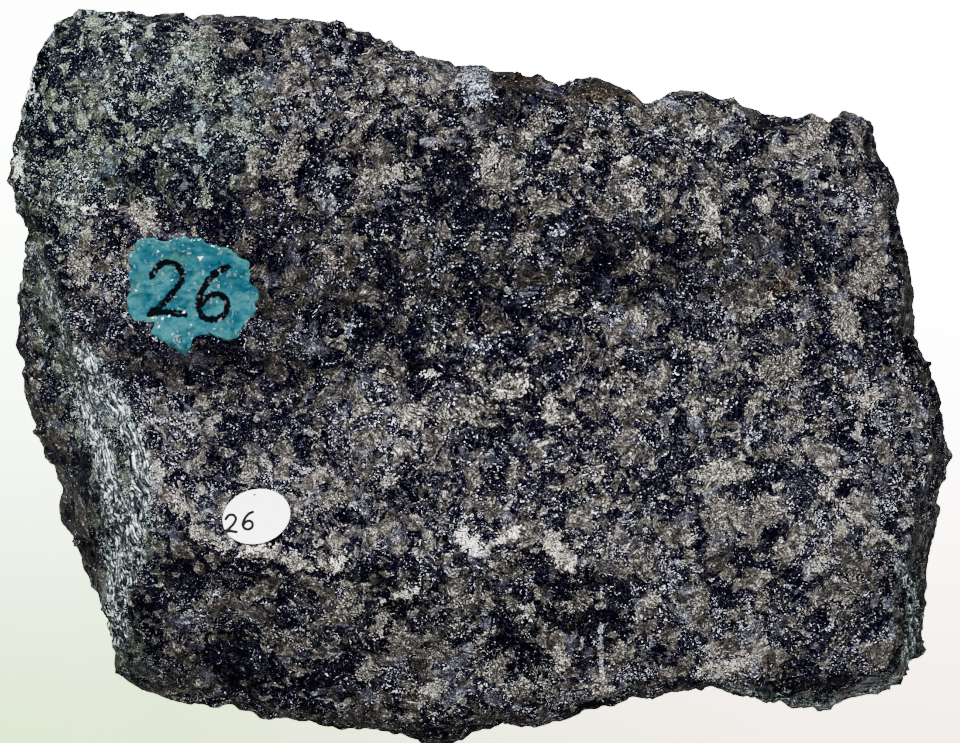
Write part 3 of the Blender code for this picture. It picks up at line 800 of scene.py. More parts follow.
@dataclass
class FaceMarks:
    """Crystals and stains that stand out on the face: pixels of the photograph.

    A crystal is (x, y, half length, half width, turn in degrees, anticlockwise). A streak is (half width,
    path). Broad ovals of painted shade, over ground that is partly darker too, are given as crystals are.
    """

    crystals: dict[Mark, tuple[Numbers, ...]] = field(default_factory=lambda: {
        Mark.TAUPE: (
            (207, 85, 19, 8, 82), (200, 40, 10, 5, 80), (231, 124, 9, 8, 0), (147, 138, 6, 6, 20),
            (80, 268, 16, 10, 110), (290, 160, 20, 11, 60), (535, 129, 19, 8, 60),
            (76, 156, 7, 6, 0), (55, 166, 6, 5, 0), (96, 101, 6, 5, 30), (98, 140, 13, 6, 80),
            (591, 145, 10, 8, 30), (617, 141, 11, 8, 120), (566, 164, 14, 5, 10), (680, 167, 10, 7, 50),
            (525, 240, 11, 8, 120), (410, 305, 8, 6, 40), (432, 348, 10, 7, 20), (476, 368, 12, 6, 110),
            (814, 134, 20, 12, 60), (867, 277, 22, 15, 60), (845, 320, 20, 13, 100), (780, 367, 22, 13, 20),
            (766, 507, 15, 12, 120), (722, 509, 15, 12, 40), (765, 300, 12, 6, 40), (795, 420, 8, 7, 0),
            (781, 448, 7, 5, 0), (820, 425, 9, 7, 60), (796, 457, 8, 6, 100), (290, 195, 9, 5, 100),
            (330, 260, 14, 6, 140), (560, 300, 15, 8, 20), (640, 260, 12, 9, 70), (700, 350, 16, 8, 160),
            (620, 380, 13, 7, 30), (468, 412, 30, 5, 8), (250, 470, 14, 8, 60), (330, 500, 14, 7, 20),
            (640, 560, 14, 8, 120),
            (700, 600, 12, 8, 60), (440, 650, 13, 7, 30), (520, 690, 12, 6, 10), (300, 640, 12, 7, 150),
            (400, 640, 16, 9, 120), (500, 665, 14, 8, 60), (580, 600, 14, 8, 20), (460, 600, 12, 8, 150),
            (620, 650, 14, 8, 70), (345, 610, 14, 9, 30),
        ),
        Mark.CREAM: (
            (144, 214, 16, 11, 120), (388, 175, 22, 8, 10), (709, 222, 18, 8, 88), (702, 195, 9, 6, 0),
            (760, 200, 6, 5, 0),
            (511, 387, 20, 13, 20), (413, 414, 13, 9, 20), (550, 409, 15, 9, 100),
            (713, 471, 14, 9, 30), (738, 476, 14, 6, 10), (637, 199, 14, 9, 110), (490, 160, 14, 9, 40),
            (531, 362, 5, 4, 0), (432, 373, 5, 3, 0), (717, 414, 6, 4, 0), (822, 490, 6, 5, 0),
            (841, 476, 11, 5, 20), (640, 320, 7, 5, 30), (205, 200, 8, 5, 60), (360, 110, 9, 6, 20),
            (820, 560, 9, 6, 40), (600, 470, 9, 5, 120), (390, 480, 10, 5, 30), (690, 540, 8, 5, 80),
            (560, 552, 24, 12, 130), (262, 553, 17, 6, 175), (300, 561, 15, 7, 165), (332, 566, 11, 7, 30),
            (380, 622, 12, 7, 60), (430, 690, 13, 6, 20),
            (560, 660, 12, 7, 120), (480, 640, 10, 6, 30), (528, 612, 9, 6, 80), (366, 672, 10, 7, 20),
            (160, 472, 9, 6, 125), (180, 502, 12, 5, 115), (198, 530, 9, 6, 130), (222, 545, 11, 5, 160),
            (724, 668, 24, 8, 8), (600, 692, 16, 6, 165), (868, 398, 11, 8, 30), (650, 600, 10, 6, 40),
        ),
        Mark.WHITE: (
            (470, 542, 16, 8, 140), (505, 536, 10, 4, 20), (556, 548, 7, 4, 60), (572, 566, 6, 3, 20),
            (336, 562, 7, 4, 50), (410, 591, 11, 6, 40), (258, 548, 12, 3, 10), (30, 83, 10, 4, 100),
            (628, 162, 5, 4, 0), (19, 165, 12, 4, 85), (431, 373, 5, 3, 20), (703, 132, 5, 4, 20),
        ),
        Mark.BLUE: (
            (477, 88, 19, 16, 100), (485, 344, 8, 6, 20), (108, 105, 6, 5, 0), (750, 439, 7, 5, 20),
            (768, 470, 4, 3, 0), (350, 330, 8, 5, 40), (660, 130, 8, 6, 60), (560, 230, 7, 5, 10),
        ),
        Mark.GREEN: (
            (157, 171, 12, 11, 30), (146, 41, 6, 5, 0), (428, 327, 8, 7, 20), (649, 220, 8, 7, 100),
            (915, 620, 56, 12, 95), (760, 700, 38, 10, 4), (115, 105, 150, 92, 165), (50, 190, 70, 34, 90),
            (50, 320, 90, 24, 100), (110, 470, 110, 34, 105), (120, 640, 50, 26, 120),
        ),
        # Painted shade on hollows and slopes facing away from the lamp, where the ground is partly darker
        # too.
        Mark.PAINTED_SHADE_AND_DARK_GROUND: (
            (215, 366, 110, 26, 178), (285, 270, 44, 66, 0), (380, 288, 110, 40, 0), (650, 266, 140, 34, 3),
            (520, 105, 50, 26, 160), (520, 320, 60, 24, 20), (170, 200, 60, 24, 0),
        ),
        Mark.BROWN: ((519, 81, 26, 7, 4), (600, 90, 32, 9, 12)),
        Mark.DARK: (
            (157, 50, 14, 10, 110), (177, 110, 14, 12, 30), (730, 491, 13, 10, 30), (765, 433, 11, 7, 20),
            (801, 484, 20, 16, 120), (110, 330, 14, 10, 60),
        ),
        Mark.RUST: ((628, 95, 5, 4, 0), (778, 289, 9, 6, 30), (594, 100, 5, 3, 0), (468, 327, 3, 3, 0)),
    })
    streaks: dict[Mark, tuple[tuple[float, tuple[Place, ...]], ...]] = field(default_factory=lambda: {
        Mark.CREAM: (
            (3.0, ((823, 490), (848, 510), (878, 534), (900, 548))),
        ),
        Mark.CRUSHED: (
            (3.5, ((28, 246), (41, 270), (51, 291), (61, 322), (69, 354), (80, 380))),
            (11.0, ((80, 380), (92, 424), (112, 485), (118, 550), (116, 640))),
            (11.0, ((82, 354), (98, 381), (122, 415), (137, 444), (142, 480), (136, 530), (128, 580))),
            (6.0, ((898, 560), (911, 590), (914, 625), (906, 662))),
            (3.0, ((720, 684), (760, 697), (820, 706), (870, 692), (902, 676))),
        ),
        Mark.WHITE: (
            (1.6, ((116, 17), (127, 26))),
            (1.6, ((125, 30), (127, 60))),
            (0.8, ((60, 200), (85, 210), (118, 205))),
        ),
        Mark.SCRATCH: (
            (2.6, ((601, 625), (600, 652), (603, 680))),
            (1.6, ((602, 585), (602, 598))),
            (1.4, ((558, 615), (563, 623))),
        ),
    })
    # How far from a mark its attribute is told apart from none.
    reach: float = 2.5
    # The soft marks, and the heights below which they and the others fade out, short of the foot of the wall.
    soft: tuple[Mark, ...] = (Mark.GREEN, Mark.PAINTED_SHADE_AND_DARK_GROUND, Mark.CRUSHED)
    soft_fades_below: float = 11.0
    fades_below: float = 23.0

    def attribute(self, mark: Mark, points: np.ndarray) -> np.ndarray:
        """How deep each point lies inside the marks of one kind, in millimetres, less than 0 outside them.

        Args:
            mark: the kind of mark.
            points: n x 3 places.

        Returns:
            For a crystal (1 - q) x its half width, where q is the cube root of |along|^3 + |across|^3, in
            half lengths and half widths. For a streak, its half width less the distance to its path. Each
            less how far the point is below the height where the mark fades out.
        """
        deepest = np.full(len(points), -self.reach)
        plan = points[:, :2]
        for x, y, half_length, half_width, turn in self.crystals.get(mark, ()):
            away = (plan - in_plan((x, y))) * PHOTO_SCALE
            turn = np.radians(turn)
            along = (away @ (np.cos(turn), np.sin(turn))) / half_length
            across = (away @ (-np.sin(turn), np.cos(turn))) / half_width
            q = np.cbrt(np.abs(along) ** 3 + np.abs(across) ** 3)
            deepest = np.maximum(deepest, (1 - q) * half_width / PHOTO_SCALE)
        for half_width, path in self.streaks.get(mark, ()):
            deepest = np.maximum(deepest, half_width / PHOTO_SCALE - from_path(plan, in_plan(path)))
        lowest = self.soft_fades_below if mark in self.soft else self.fades_below
        deepest -= np.maximum(lowest - points[:, 2], 0)
        return np.maximum(deepest, -self.reach)


# Nodes


@dataclass
class Graph:
    """A node tree that is written as arithmetic: each method adds a node and gives back its output."""

    tree: NodeTree

    def put(self, socket: Socket, value: Value) -> None:
        """Joins another node's output to the socket, or sets the socket's own value."""
        if isinstance(value, Socket):
            self.tree.links.new(value, socket)
        elif isinstance(value, tuple) and socket.type == "RGBA":
            socket.default_value = (*value, 1.0)
        else:
            socket.default_value = value

    def add(
        self, kind: str, inputs: dict[str | int, Value] | None = None, **settings: object
    ) -> bpy.types.Node:
        """Adds a node.

        Args:
            kind: Blender's name for it.
            inputs: values or outputs for its sockets, by name or number.
            settings: the node's own settings.

        Returns:
            The node.
        """
        node = self.tree.nodes.new(kind)
        for name, setting in settings.items():
            setattr(node, name, setting)
        for name, value in (inputs or {}).items():
            self.put(node.inputs[name], value)
        return node

    def math(self, operation: str, *values: Value) -> Socket:
        """One step of arithmetic on numbers."""
        return self.add("ShaderNodeMath", dict(enumerate(values)), operation=operation).outputs[0]

    def vector(self, operation: str, *values: Value, output: str = "Vector") -> Socket:
        """One step of arithmetic on vectors."""
        return self.add("ShaderNodeVectorMath", dict(enumerate(values)), operation=operation).outputs[output]

    def scaled(self, vector: Value, times: Value) -> Socket:
        """A vector or a colour times a number."""
        node = self.add("ShaderNodeVectorMath", {"Vector": vector, "Scale": times}, operation="SCALE")
        return node.outputs["Vector"]

    def weighted(self, parts: tuple[Value, ...], weights: Numbers) -> Socket:
        """The sum of the parts, each times its weight, plus the weight left over, if there is one."""
        result: Value = sum(weights[len(parts) :])
        for part, weight in zip(parts, weights):
            result = self.math("MULTIPLY_ADD", part, weight, result)
        return result

    def blended(self, share: Value, first: Value, second: Value) -> Socket:
        """The first number, giving way to the second by this share: first + share x (second - first)."""
        return self.math("MULTIPLY_ADD", share, self.math("SUBTRACT", second, first), first)

    def rise(self, value: Value, low: float, high: float, bottom: float = 0.0, top: float = 1.0) -> Socket:
        """Goes smoothly from bottom to top as the value goes from low to high."""
        node = self.add(
            "ShaderNodeMapRange",
            {"Value": value, "From Min": low, "From Max": high, "To Min": bottom, "To Max": top},
            interpolation_type="SMOOTHSTEP",
        )
        return node.outputs["Result"]

    def mix(self, share: Value, first: Value, second: Value, blend: str = "MIX") -> Socket:
        """The first colour, giving way to the second.

        Args:
            share: 0 for the first, 1 for the second.
            first: a colour.
            second: another.
            blend: Blender's name for the way that they meet.

        Returns:
            The mixed colour.
        """
        node = self.add("ShaderNodeMix", data_type="RGBA", blend_type=blend)
        self.put(node.inputs["Factor"], share)
        colours = [socket for socket in node.inputs if socket.type == "RGBA"]
        self.put(colours[0], first)
        self.put(colours[1], second)
        return next(socket for socket in node.outputs if socket.type == "RGBA")

    def ramp(self, level: Value, stops: tuple[tuple[float, Colour], ...]) -> Socket:
        """The colour at a level.

        Args:
            level: a number.
            stops: levels and their colours, lowest first.

        Returns:
            The colour, straight between the stops.
        """
        node = self.add("ShaderNodeValToRGB", {"Fac": level})
        elements = node.color_ramp.elements
        for _ in range(len(stops) - len(elements)):
            elements.new(0.5)
        for element, (at, colour) in zip(elements, stops):
            element.position = at
            element.color = (*colour, 1.0)
        return node.outputs["Color"]

    def attribute(self, name: str) -> Socket:
        """A vertex attribute of the piece."""
        return self.add("ShaderNodeAttribute", attribute_name=name).outputs["Fac"]

    def place(self) -> Socket:
        """Object coordinates, in millimetres."""
        coordinates = self.add("ShaderNodeTexCoord").outputs["Object"]
        return self.scaled(coordinates, 1 / MM)

    def noise(
        self, at: Value, size: float, detail: float = 2.0, gain: float = 0.55, output: str = "Fac"
    ) -> Socket:
        """Noise that changes over this many millimetres, about 0.5 on average."""
        inputs = {"Vector": at, "Scale": 1 / size, "Detail": detail, "Roughness": gain}
        return self.add("ShaderNodeTexNoise", inputs).outputs[output]

    def wavered(self, at: Value, size: float, distance: float, detail: float = 1.0) -> Socket:
        """Places carried aside by up to about half this distance, by noise of this size."""
        aside = self.vector("SUBTRACT", self.noise(at, size, detail, output="Color"), (0.5, 0.5, 0.5))
        return self.vector("ADD", at, self.scaled(aside, distance))

    def bump(self, height: Value, strength: float = 1.0) -> Socket:
        """Normals of the surface raised by this height, in millimetres."""
        node = self.add("ShaderNodeBump", {"Strength": strength, "Distance": MM, "Height": height})
        return node.outputs["Normal"]

    def group(self, tree: NodeTree, inputs: dict[str, Value]) -> bpy.types.Node:
        """Places a node group with values of its own."""
        node = self.add("ShaderNodeGroup", node_tree=tree)
        for name, value in inputs.items():
            self.put(node.inputs[name], value)
        return node


def new_group(
    name: str, inputs: dict[str, str], outputs: dict[str, str]
) -> tuple[Graph, bpy.types.Node, bpy.types.Node]:
    """Starts a shader node group.

    Args:
        name: the group's name.
        inputs: kinds of its input sockets, by name.
        outputs: kinds of its output sockets, by name.

    Returns:
        Its graph, the node that gives its inputs and the node that takes its outputs.
    """
    tree = bpy.data.node_groups.new(name, "ShaderNodeTree")
    for sockets, side in ((inputs, "INPUT"), (outputs, "OUTPUT")):
        for socket, kind in sockets.items():
            tree.interface.new_socket(name=socket, in_out=side, socket_type=f"NodeSocket{kind}")
    graph = Graph(tree)
    return graph, graph.add("NodeGroupInput"), graph.add("NodeGroupOutput")


def crystal_cells_group() -> NodeTree:
    """Crystals: each has a tone, a hue, a middle and a flat face that leans its own way.

    Returns:
        A group that gives the nearest cell's two random numbers and middle, and the height of its leaning
        face: (point - middle) . (random - 0.5), in cell sizes.
    """
    graph, given, result = new_group(
        "crystal_cells",
        {"Place": "Vector", "Size": "Float"},
        {"Tone": "Float", "Hue": "Float", "Middle": "Vector", "Lean": "Float"},
    )
    scale = graph.math("DIVIDE", 1.0, given.outputs["Size"])
    cells = graph.add("ShaderNodeTexVoronoi", {"Vector": given.outputs["Place"], "Scale": scale})
    numbers = graph.add("ShaderNodeSeparateColor", {"Color": cells.outputs["Color"]})
    away = graph.vector("SUBTRACT", given.outputs["Place"], cells.outputs["Position"])
    direction = graph.vector("SUBTRACT", cells.outputs["Color"], (0.5, 0.5, 0.5))
    lean = graph.math("MULTIPLY", graph.vector("DOT_PRODUCT", away, direction, output="Value"), scale)
    graph.put(result.inputs["Tone"], numbers.outputs["Red"])
    graph.put(result.inputs["Hue"], numbers.outputs["Green"])
    graph.put(result.inputs["Middle"], cells.outputs["Position"])
    graph.put(result.inputs["Lean"], lean)
    return graph.tree


def grime_group(detail: float = 4.0, gain: float = 0.6, low: float = 0.45, high: float = 0.7) -> NodeTree:
    """Dust and handling: a patchy mask and a slow change of brightness.

    Args:
        detail: how many octaves its noise has.
        gain: how much of each octave the next one keeps.
        low: the noise's value where the mask starts.
        high: the noise's value where the mask is full.

    Returns:
        A group that gives Mask, 0 where clean, and Shade, a factor near 1 for the colour.
    """
    graph, given, result = new_group(
        "grime", {"Place": "Vector", "Size": "Float", "Amount": "Float"}, {"Mask": "Float", "Shade": "Float"}
    )
    scale = graph.math("DIVIDE", 1.0, given.outputs["Size"])
    inputs = {"Vector": given.outputs["Place"], "Scale": scale, "Detail": detail, "Roughness": gain}
    patches = graph.add("ShaderNodeTexNoise", inputs).outputs["Fac"]
    mask = graph.math("MULTIPLY", graph.rise(patches, low, high), given.outputs["Amount"])
    swing = graph.math("MULTIPLY", graph.math("SUBTRACT", patches, 0.5), given.outputs["Amount"])
    graph.put(result.inputs["Mask"], mask)
    graph.put(result.inputs["Shade"], graph.math("ADD", 1.0, swing))
    return graph.tree


def new_material(name: str) -> tuple[bpy.types.Material, Graph, bpy.types.Node]:
    """A material with its Principled shader.

    Args:
        name: the material's name.

    Returns:
        The material, its graph and its shader node.
    """
    material = bpy.data.materials.new(name)
    material.use_nodes = True
    return material, Graph(material.node_tree), material.node_tree.nodes["Principled BSDF"]


@dataclass(frozen=True)
class GabbroFinish:
    """Coarse gabbro, freshly broken: navy pyroxene full of pale flecks, some of them painted glints, and
    ragged clumps of taupe feldspar.

    The colour comes from one level, 0 for black and 1 for white, through a cool or a warm scale of tones.
    """

    cool: tuple[tuple[float, Colour], ...] = (
        (0.20, (0.0001, 0.0000, 0.0009)),
        (0.38, (0.0010, 0.0008, 0.0036)),
        (0.50, (0.0037, 0.0035, 0.0082)),
        (0.62, (0.0138, 0.0138, 0.0220)),
        (0.73, (0.0460, 0.0475, 0.0590)),
        (0.84, (0.2300, 0.2430, 0.2620)),
        (0.93, (0.9000, 0.9200, 0.9400)),
    )
    warm: tuple[tuple[float, Colour], ...] = (
        (0.20, (0.0002, 0.0001, 0.0003)),
        (0.38, (0.0014, 0.0012, 0.0014)),
        (0.50, (0.0048, 0.0041, 0.0040)),
        (0.62, (0.0175, 0.0152, 0.0144)),
        (0.73, (0.0555, 0.0508, 0.0448)),
        (0.84, (0.2720, 0.2550, 0.2220)),
        (0.93, (0.9400, 0.9100, 0.8400)),
    )
    # For each mark: its level, how much of the texture's contrast it keeps, how warm it is, and a tint.
    marks: tuple[tuple[Mark, float, float, float, Colour], ...] = (
        (Mark.DARK, 0.30, 1.7, 0.0, PLAIN),
        (Mark.TAUPE, 0.61, 0.95, 1.0, PLAIN),
        (Mark.CREAM, 0.675, 0.9, 1.0, PLAIN),
        (Mark.BLUE, 0.61, 1.4, 0.0, (0.93, 0.98, 1.05)),
        (Mark.BROWN, 0.47, 1.0, 1.0, (1.04, 0.94, 0.82)),
        (Mark.WHITE, 0.77, 1.3, 0.8, PLAIN),
    )
    # The tint of altered, greenish ground.
    altered: Colour = (0.82, 1.03, 0.93)
    # How far the fibres of the crushed streaks are turned, in radians, their tint and how warm they are.
    crushed_turn: float = 1.33
    crushed_tint: Colour = (0.85, 1.03, 0.95)
    crushed_warmth: float = 0.35
    rust_tint: Colour = (1.2, 0.8, 0.5)
    # Sizes of coarse and small crystals and of grains, in millimetres.
    coarse_crystal: float = 1.8
    small_crystal: float = 0.85
    grain: float = 0.25
    # Noise that carries places aside: its size, and how far.
    broad_waver: Pair = (3.0, 2.4)
    small_waver: Pair = (0.5, 0.6)
    # Noise: its size, its octaves, and how much of each octave the next one keeps.
    mottle_noise: Numbers = (0.8, 2.0)
    drift_noise: Numbers = (8.0, 2.0)
    texture_noise: Numbers = (0.34, 1.5, 0.6)
    grit_noise: Numbers = (0.16, 0.0)
    clump_noise: Numbers = (4.6, 1.0)
    cluster_noise: Numbers = (3.2, 1.0)
    edge_noise: Numbers = (0.9, 3.0, 0.65)
    # The axis about which the texture turns, and how much it is squeezed along and across its fibres, first
    # in plain and then in crushed ground.
    turn_axis: tuple[float, float, float] = (0.15, 0.1, 1.0)
    squeezed_along: Pair = (0.72, 0.10)
    squeezed_across: Pair = (1.0, 2.2)
    # Weights in sums, in the order that the parts have below. One that is left over is added as it is.
    turn_weights: Numbers = (1.8, 4.0, -3.3)
    fine_weights: Numbers = (0.8, 0.16, 0.68, 0.15, -0.895)
    calm_weights: Numbers = (1.0, -0.24, 0.12)
    crowd_weights: Numbers = (1.0, 0.6, 1.2, 1.0, 0.7, -1.75)
    coarse_weights: Numbers = (0.6, 0.4, 0.12, 0.3)
    small_weights: Numbers = (0.5, 0.5, 0.12, 0.3)
    pale_weights: Numbers = (0.18, 0.14, 0.9, -0.08, 0.445)
    dark_weights: Numbers = (0.08, 0.36, 1.4, 0.4, -0.24)
    faint_fleck_weights: Numbers = (1.1, 0.49)
    glint_and_fleck_weights: Numbers = (1.3, 0.70)
    edge_weights: Numbers = (3.0, 0.8, -1.5)
    zone_weights: Numbers = (1.0, -0.08, 0.025)
    mark_weights: Numbers = (1.3, -0.14)
    fibre_weights: Numbers = (1.4, 0.4, 0.6, -0.55)
    scratch_weights: Numbers = (0.8, 0.71)
    gloss_weights: Numbers = (0.08, 0.42, 0.05)
    height_weights: Numbers = (0.40, 0.30, 0.34)
    # Between which two values each mask rises from 0 to 1, or falls for pinholes.
    glint_and_fleck_rise: Pair = (1.04, 1.13)
    faint_fleck_rise: Pair = (0.74, 0.96)
    pinhole_fall: Pair = (0.10, 0.16)
    coarse_rise: Pair = (0.750, 0.770)
    small_rise: Pair = (0.785, 0.805)
    warm_rise: Pair = (0.0, 0.35)
    crushed_rise: Pair = (-1.0, 0.2)
    fibrous_rise: Pair = (-0.3, 0.4)
    painted_shade_and_dark_ground_rise: Pair = (-2.4, 2.0)
    green_rise: Pair = (-1.2, 1.4)
    rust_rise: Pair = (-1.2, 0.8)
    mark_rise: Pair = (-0.12, 0.18)
    scratch_rise: Pair = (-0.12, 0.10)
    gloss_rise: Pair = (0.4, 0.7)
    # How much of the marks' ragged edge the scratch has.
    scratch_ragged: float = 0.3
    # The size and the amount of the dust.
    dust: Pair = (11.0, 0.5)
    specular_level: float = 0.035

    def material(self, crystal_cells: NodeTree, grime: NodeTree) -> bpy.types.Material:
        """Builds the material.

        Args:
            crystal_cells: the group that gives crystals.
            grime: the group that gives dust.

        Returns:
            The material.
        """
        material, graph, shader = new_material("gabbro_broken_face")
        place = graph.place()
        flowing = graph.wavered(place, *self.broad_waver)
        wavy = graph.wavered(flowing, *self.small_waver)
        coarse = graph.group(crystal_cells, {"Place": wavy, "Size": self.coarse_crystal}).outputs
        small = graph.group(crystal_cells, {"Place": wavy, "Size": self.small_crystal}).outputs
        mottle = graph.noise(wavy, *self.mottle_noise)
        drift = graph.noise(place, *self.drift_noise)

        # Cleavage: the fine texture is stretched along a direction that drifts over the face, and that each
        # coarse crystal turns its own way. In crushed ground it is drawn out into fibres.
        crushed = graph.rise(graph.attribute(Mark.CRUSHED.value), *self.crushed_rise)
        turn = graph.weighted((coarse["Hue"], drift), self.turn_weights)
        turn = graph.blended(crushed, turn, self.crushed_turn)
        inputs = {"Vector": flowing, "Axis": self.turn_axis, "Angle": turn}
        turned = graph.add("ShaderNodeVectorRotate", inputs)
        squeeze = graph.add("ShaderNodeCombineXYZ", {
            "X": graph.blended(crushed, *self.squeezed_along),
            "Y": graph.blended(crushed, *self.squeezed_across),
            "Z": 1.0,
        })
        cleaved = graph.vector("MULTIPLY", turned.outputs["Vector"], squeeze.outputs["Vector"])
        texture = graph.noise(cleaved, *self.texture_noise)
        grain = graph.group(crystal_cells, {"Place": cleaved, "Size": self.grain}).outputs
        grit = graph.noise(place, *self.grit_noise)
        fine = graph.weighted((texture, grain["Hue"], grit, mottle), self.fine_weights)
        calm = graph.weighted((fine, grit), self.calm_weights)

        # Bright flecks on the dark minerals, partly pale specks and partly painted glints, and dark pinholes
        # in the
        # pale ones: thin and wavering.
        crowd = graph.weighted((grain["Tone"], texture, drift, mottle, grit), self.crowd_weights)
        # Painted glints: some bright flecks are white colour, standing in for light glancing off crystals.
        fleck = graph.rise(crowd, *self.glint_and_fleck_rise)
        faint_fleck = graph.rise(crowd, *self.faint_fleck_rise)
        pinhole = graph.rise(grain["Tone"], *self.pinhole_fall, 1.0, 0.0)
        dark = graph.weighted((small["Tone"], drift, fine, grit), self.dark_weights)
        dark = graph.blended(faint_fleck, dark, graph.weighted((fine,), self.faint_fleck_weights))
        dark = graph.blended(fleck, dark, graph.weighted((fine,), self.glint_and_fleck_weights))
        pale = graph.weighted((small["Hue"], mottle, calm, pinhole), self.pale_weights)

        # Pale crystals stand in clumps of coarse ones and clusters of small ones.
        clumps = graph.noise(coarse["Middle"], *self.clump_noise)
        clumps = graph.weighted((clumps, coarse["Tone"], fine, drift), self.coarse_weights)
        clusters = graph.noise(small["Middle"], *self.cluster_noise)
        clusters = graph.weighted((clusters, small["Tone"], fine, drift), self.small_weights)
        is_pale = graph.math(
            "MAXIMUM", graph.rise(clumps, *self.coarse_rise), graph.rise(clusters, *self.small_rise)
        )
        level = graph.blended(is_pale, dark, pale)
        warmth = graph.math("MULTIPLY", is_pale, graph.rise(coarse["Hue"], *self.warm_rise))

        # Painted shade: the level falls in soft zones over the hollows, whose ground is partly darker too.
        painted_shade_and_dark_ground = graph.rise(graph.attribute(Mark.PAINTED_SHADE_AND_DARK_GROUND.value), *self.painted_shade_and_dark_ground_rise)
        green = graph.rise(graph.attribute(Mark.GREEN.value), *self.green_rise)
        level = graph.weighted((level, painted_shade_and_dark_ground, green), self.zone_weights)
        ragged = graph.weighted((graph.noise(place, *self.edge_noise), fine), self.edge_weights)
        tint = PLAIN
        for mark, mark_level, contrast, mark_warmth, mark_tint in self.marks:
            mask = graph.rise(graph.math("ADD", graph.attribute(mark.value), ragged), *self.mark_rise)
            weights = (*(contrast * weight for weight in self.mark_weights), mark_level)
            level = graph.blended(mask, level, graph.weighted((calm, pinhole), weights))
            warmth = graph.blended(mask, warmth, mark_warmth)
            tint = graph.mix(mask, tint, mark_tint)
        tint = graph.mix(green, tint, graph.mix(1.0, tint, self.altered, "MULTIPLY"))

        fibrous = graph.math("ADD", graph.attribute(Mark.CRUSHED.value), ragged)
        fibrous = graph.rise(fibrous, *self.fibrous_rise)
        fibres = graph.weighted((texture, grit, mottle), self.fibre_weights)
        level = graph.blended(fibrous, level, fibres)
        warmth = graph.blended(fibrous, warmth, self.crushed_warmth)
        tint = graph.mix(fibrous, tint, self.crushed_tint)
        scratch = graph.math("MULTIPLY_ADD", ragged, self.scratch_ragged, graph.attribute(Mark.SCRATCH.value))
        scratch = graph.rise(scratch, *self.scratch_rise)
        level = graph.blended(scratch, level, graph.weighted((fine,), self.scratch_weights))
        rust = graph.rise(graph.attribute(Mark.RUST.value), *self.rust_rise)
        tint = graph.mix(graph.math("MULTIPLY", rust, mottle), tint, self.rust_tint)

        size, amount = self.dust
        dirt = graph.group(grime, {"Place": place, "Size": size, "Amount": amount})
        colour = graph.mix(warmth, graph.ramp(level, self.cool), graph.ramp(level, self.warm))
        colour = graph.scaled(graph.mix(1.0, colour, tint, "MULTIPLY"), dirt.outputs["Shade"])
        is_light = graph.rise(level, *self.gloss_rise)
        height = graph.weighted((coarse["Lean"], small["Lean"], mottle), self.height_weights)
        graph.put(shader.inputs["Base Color"], colour)
        graph.put(shader.inputs["Roughness"], graph.weighted((small["Tone"], is_light), self.gloss_weights))
        graph.put(shader.inputs["Normal"], graph.bump(height))
        shader.inputs["Specular IOR Level"].default_value = self.specular_level
        return material


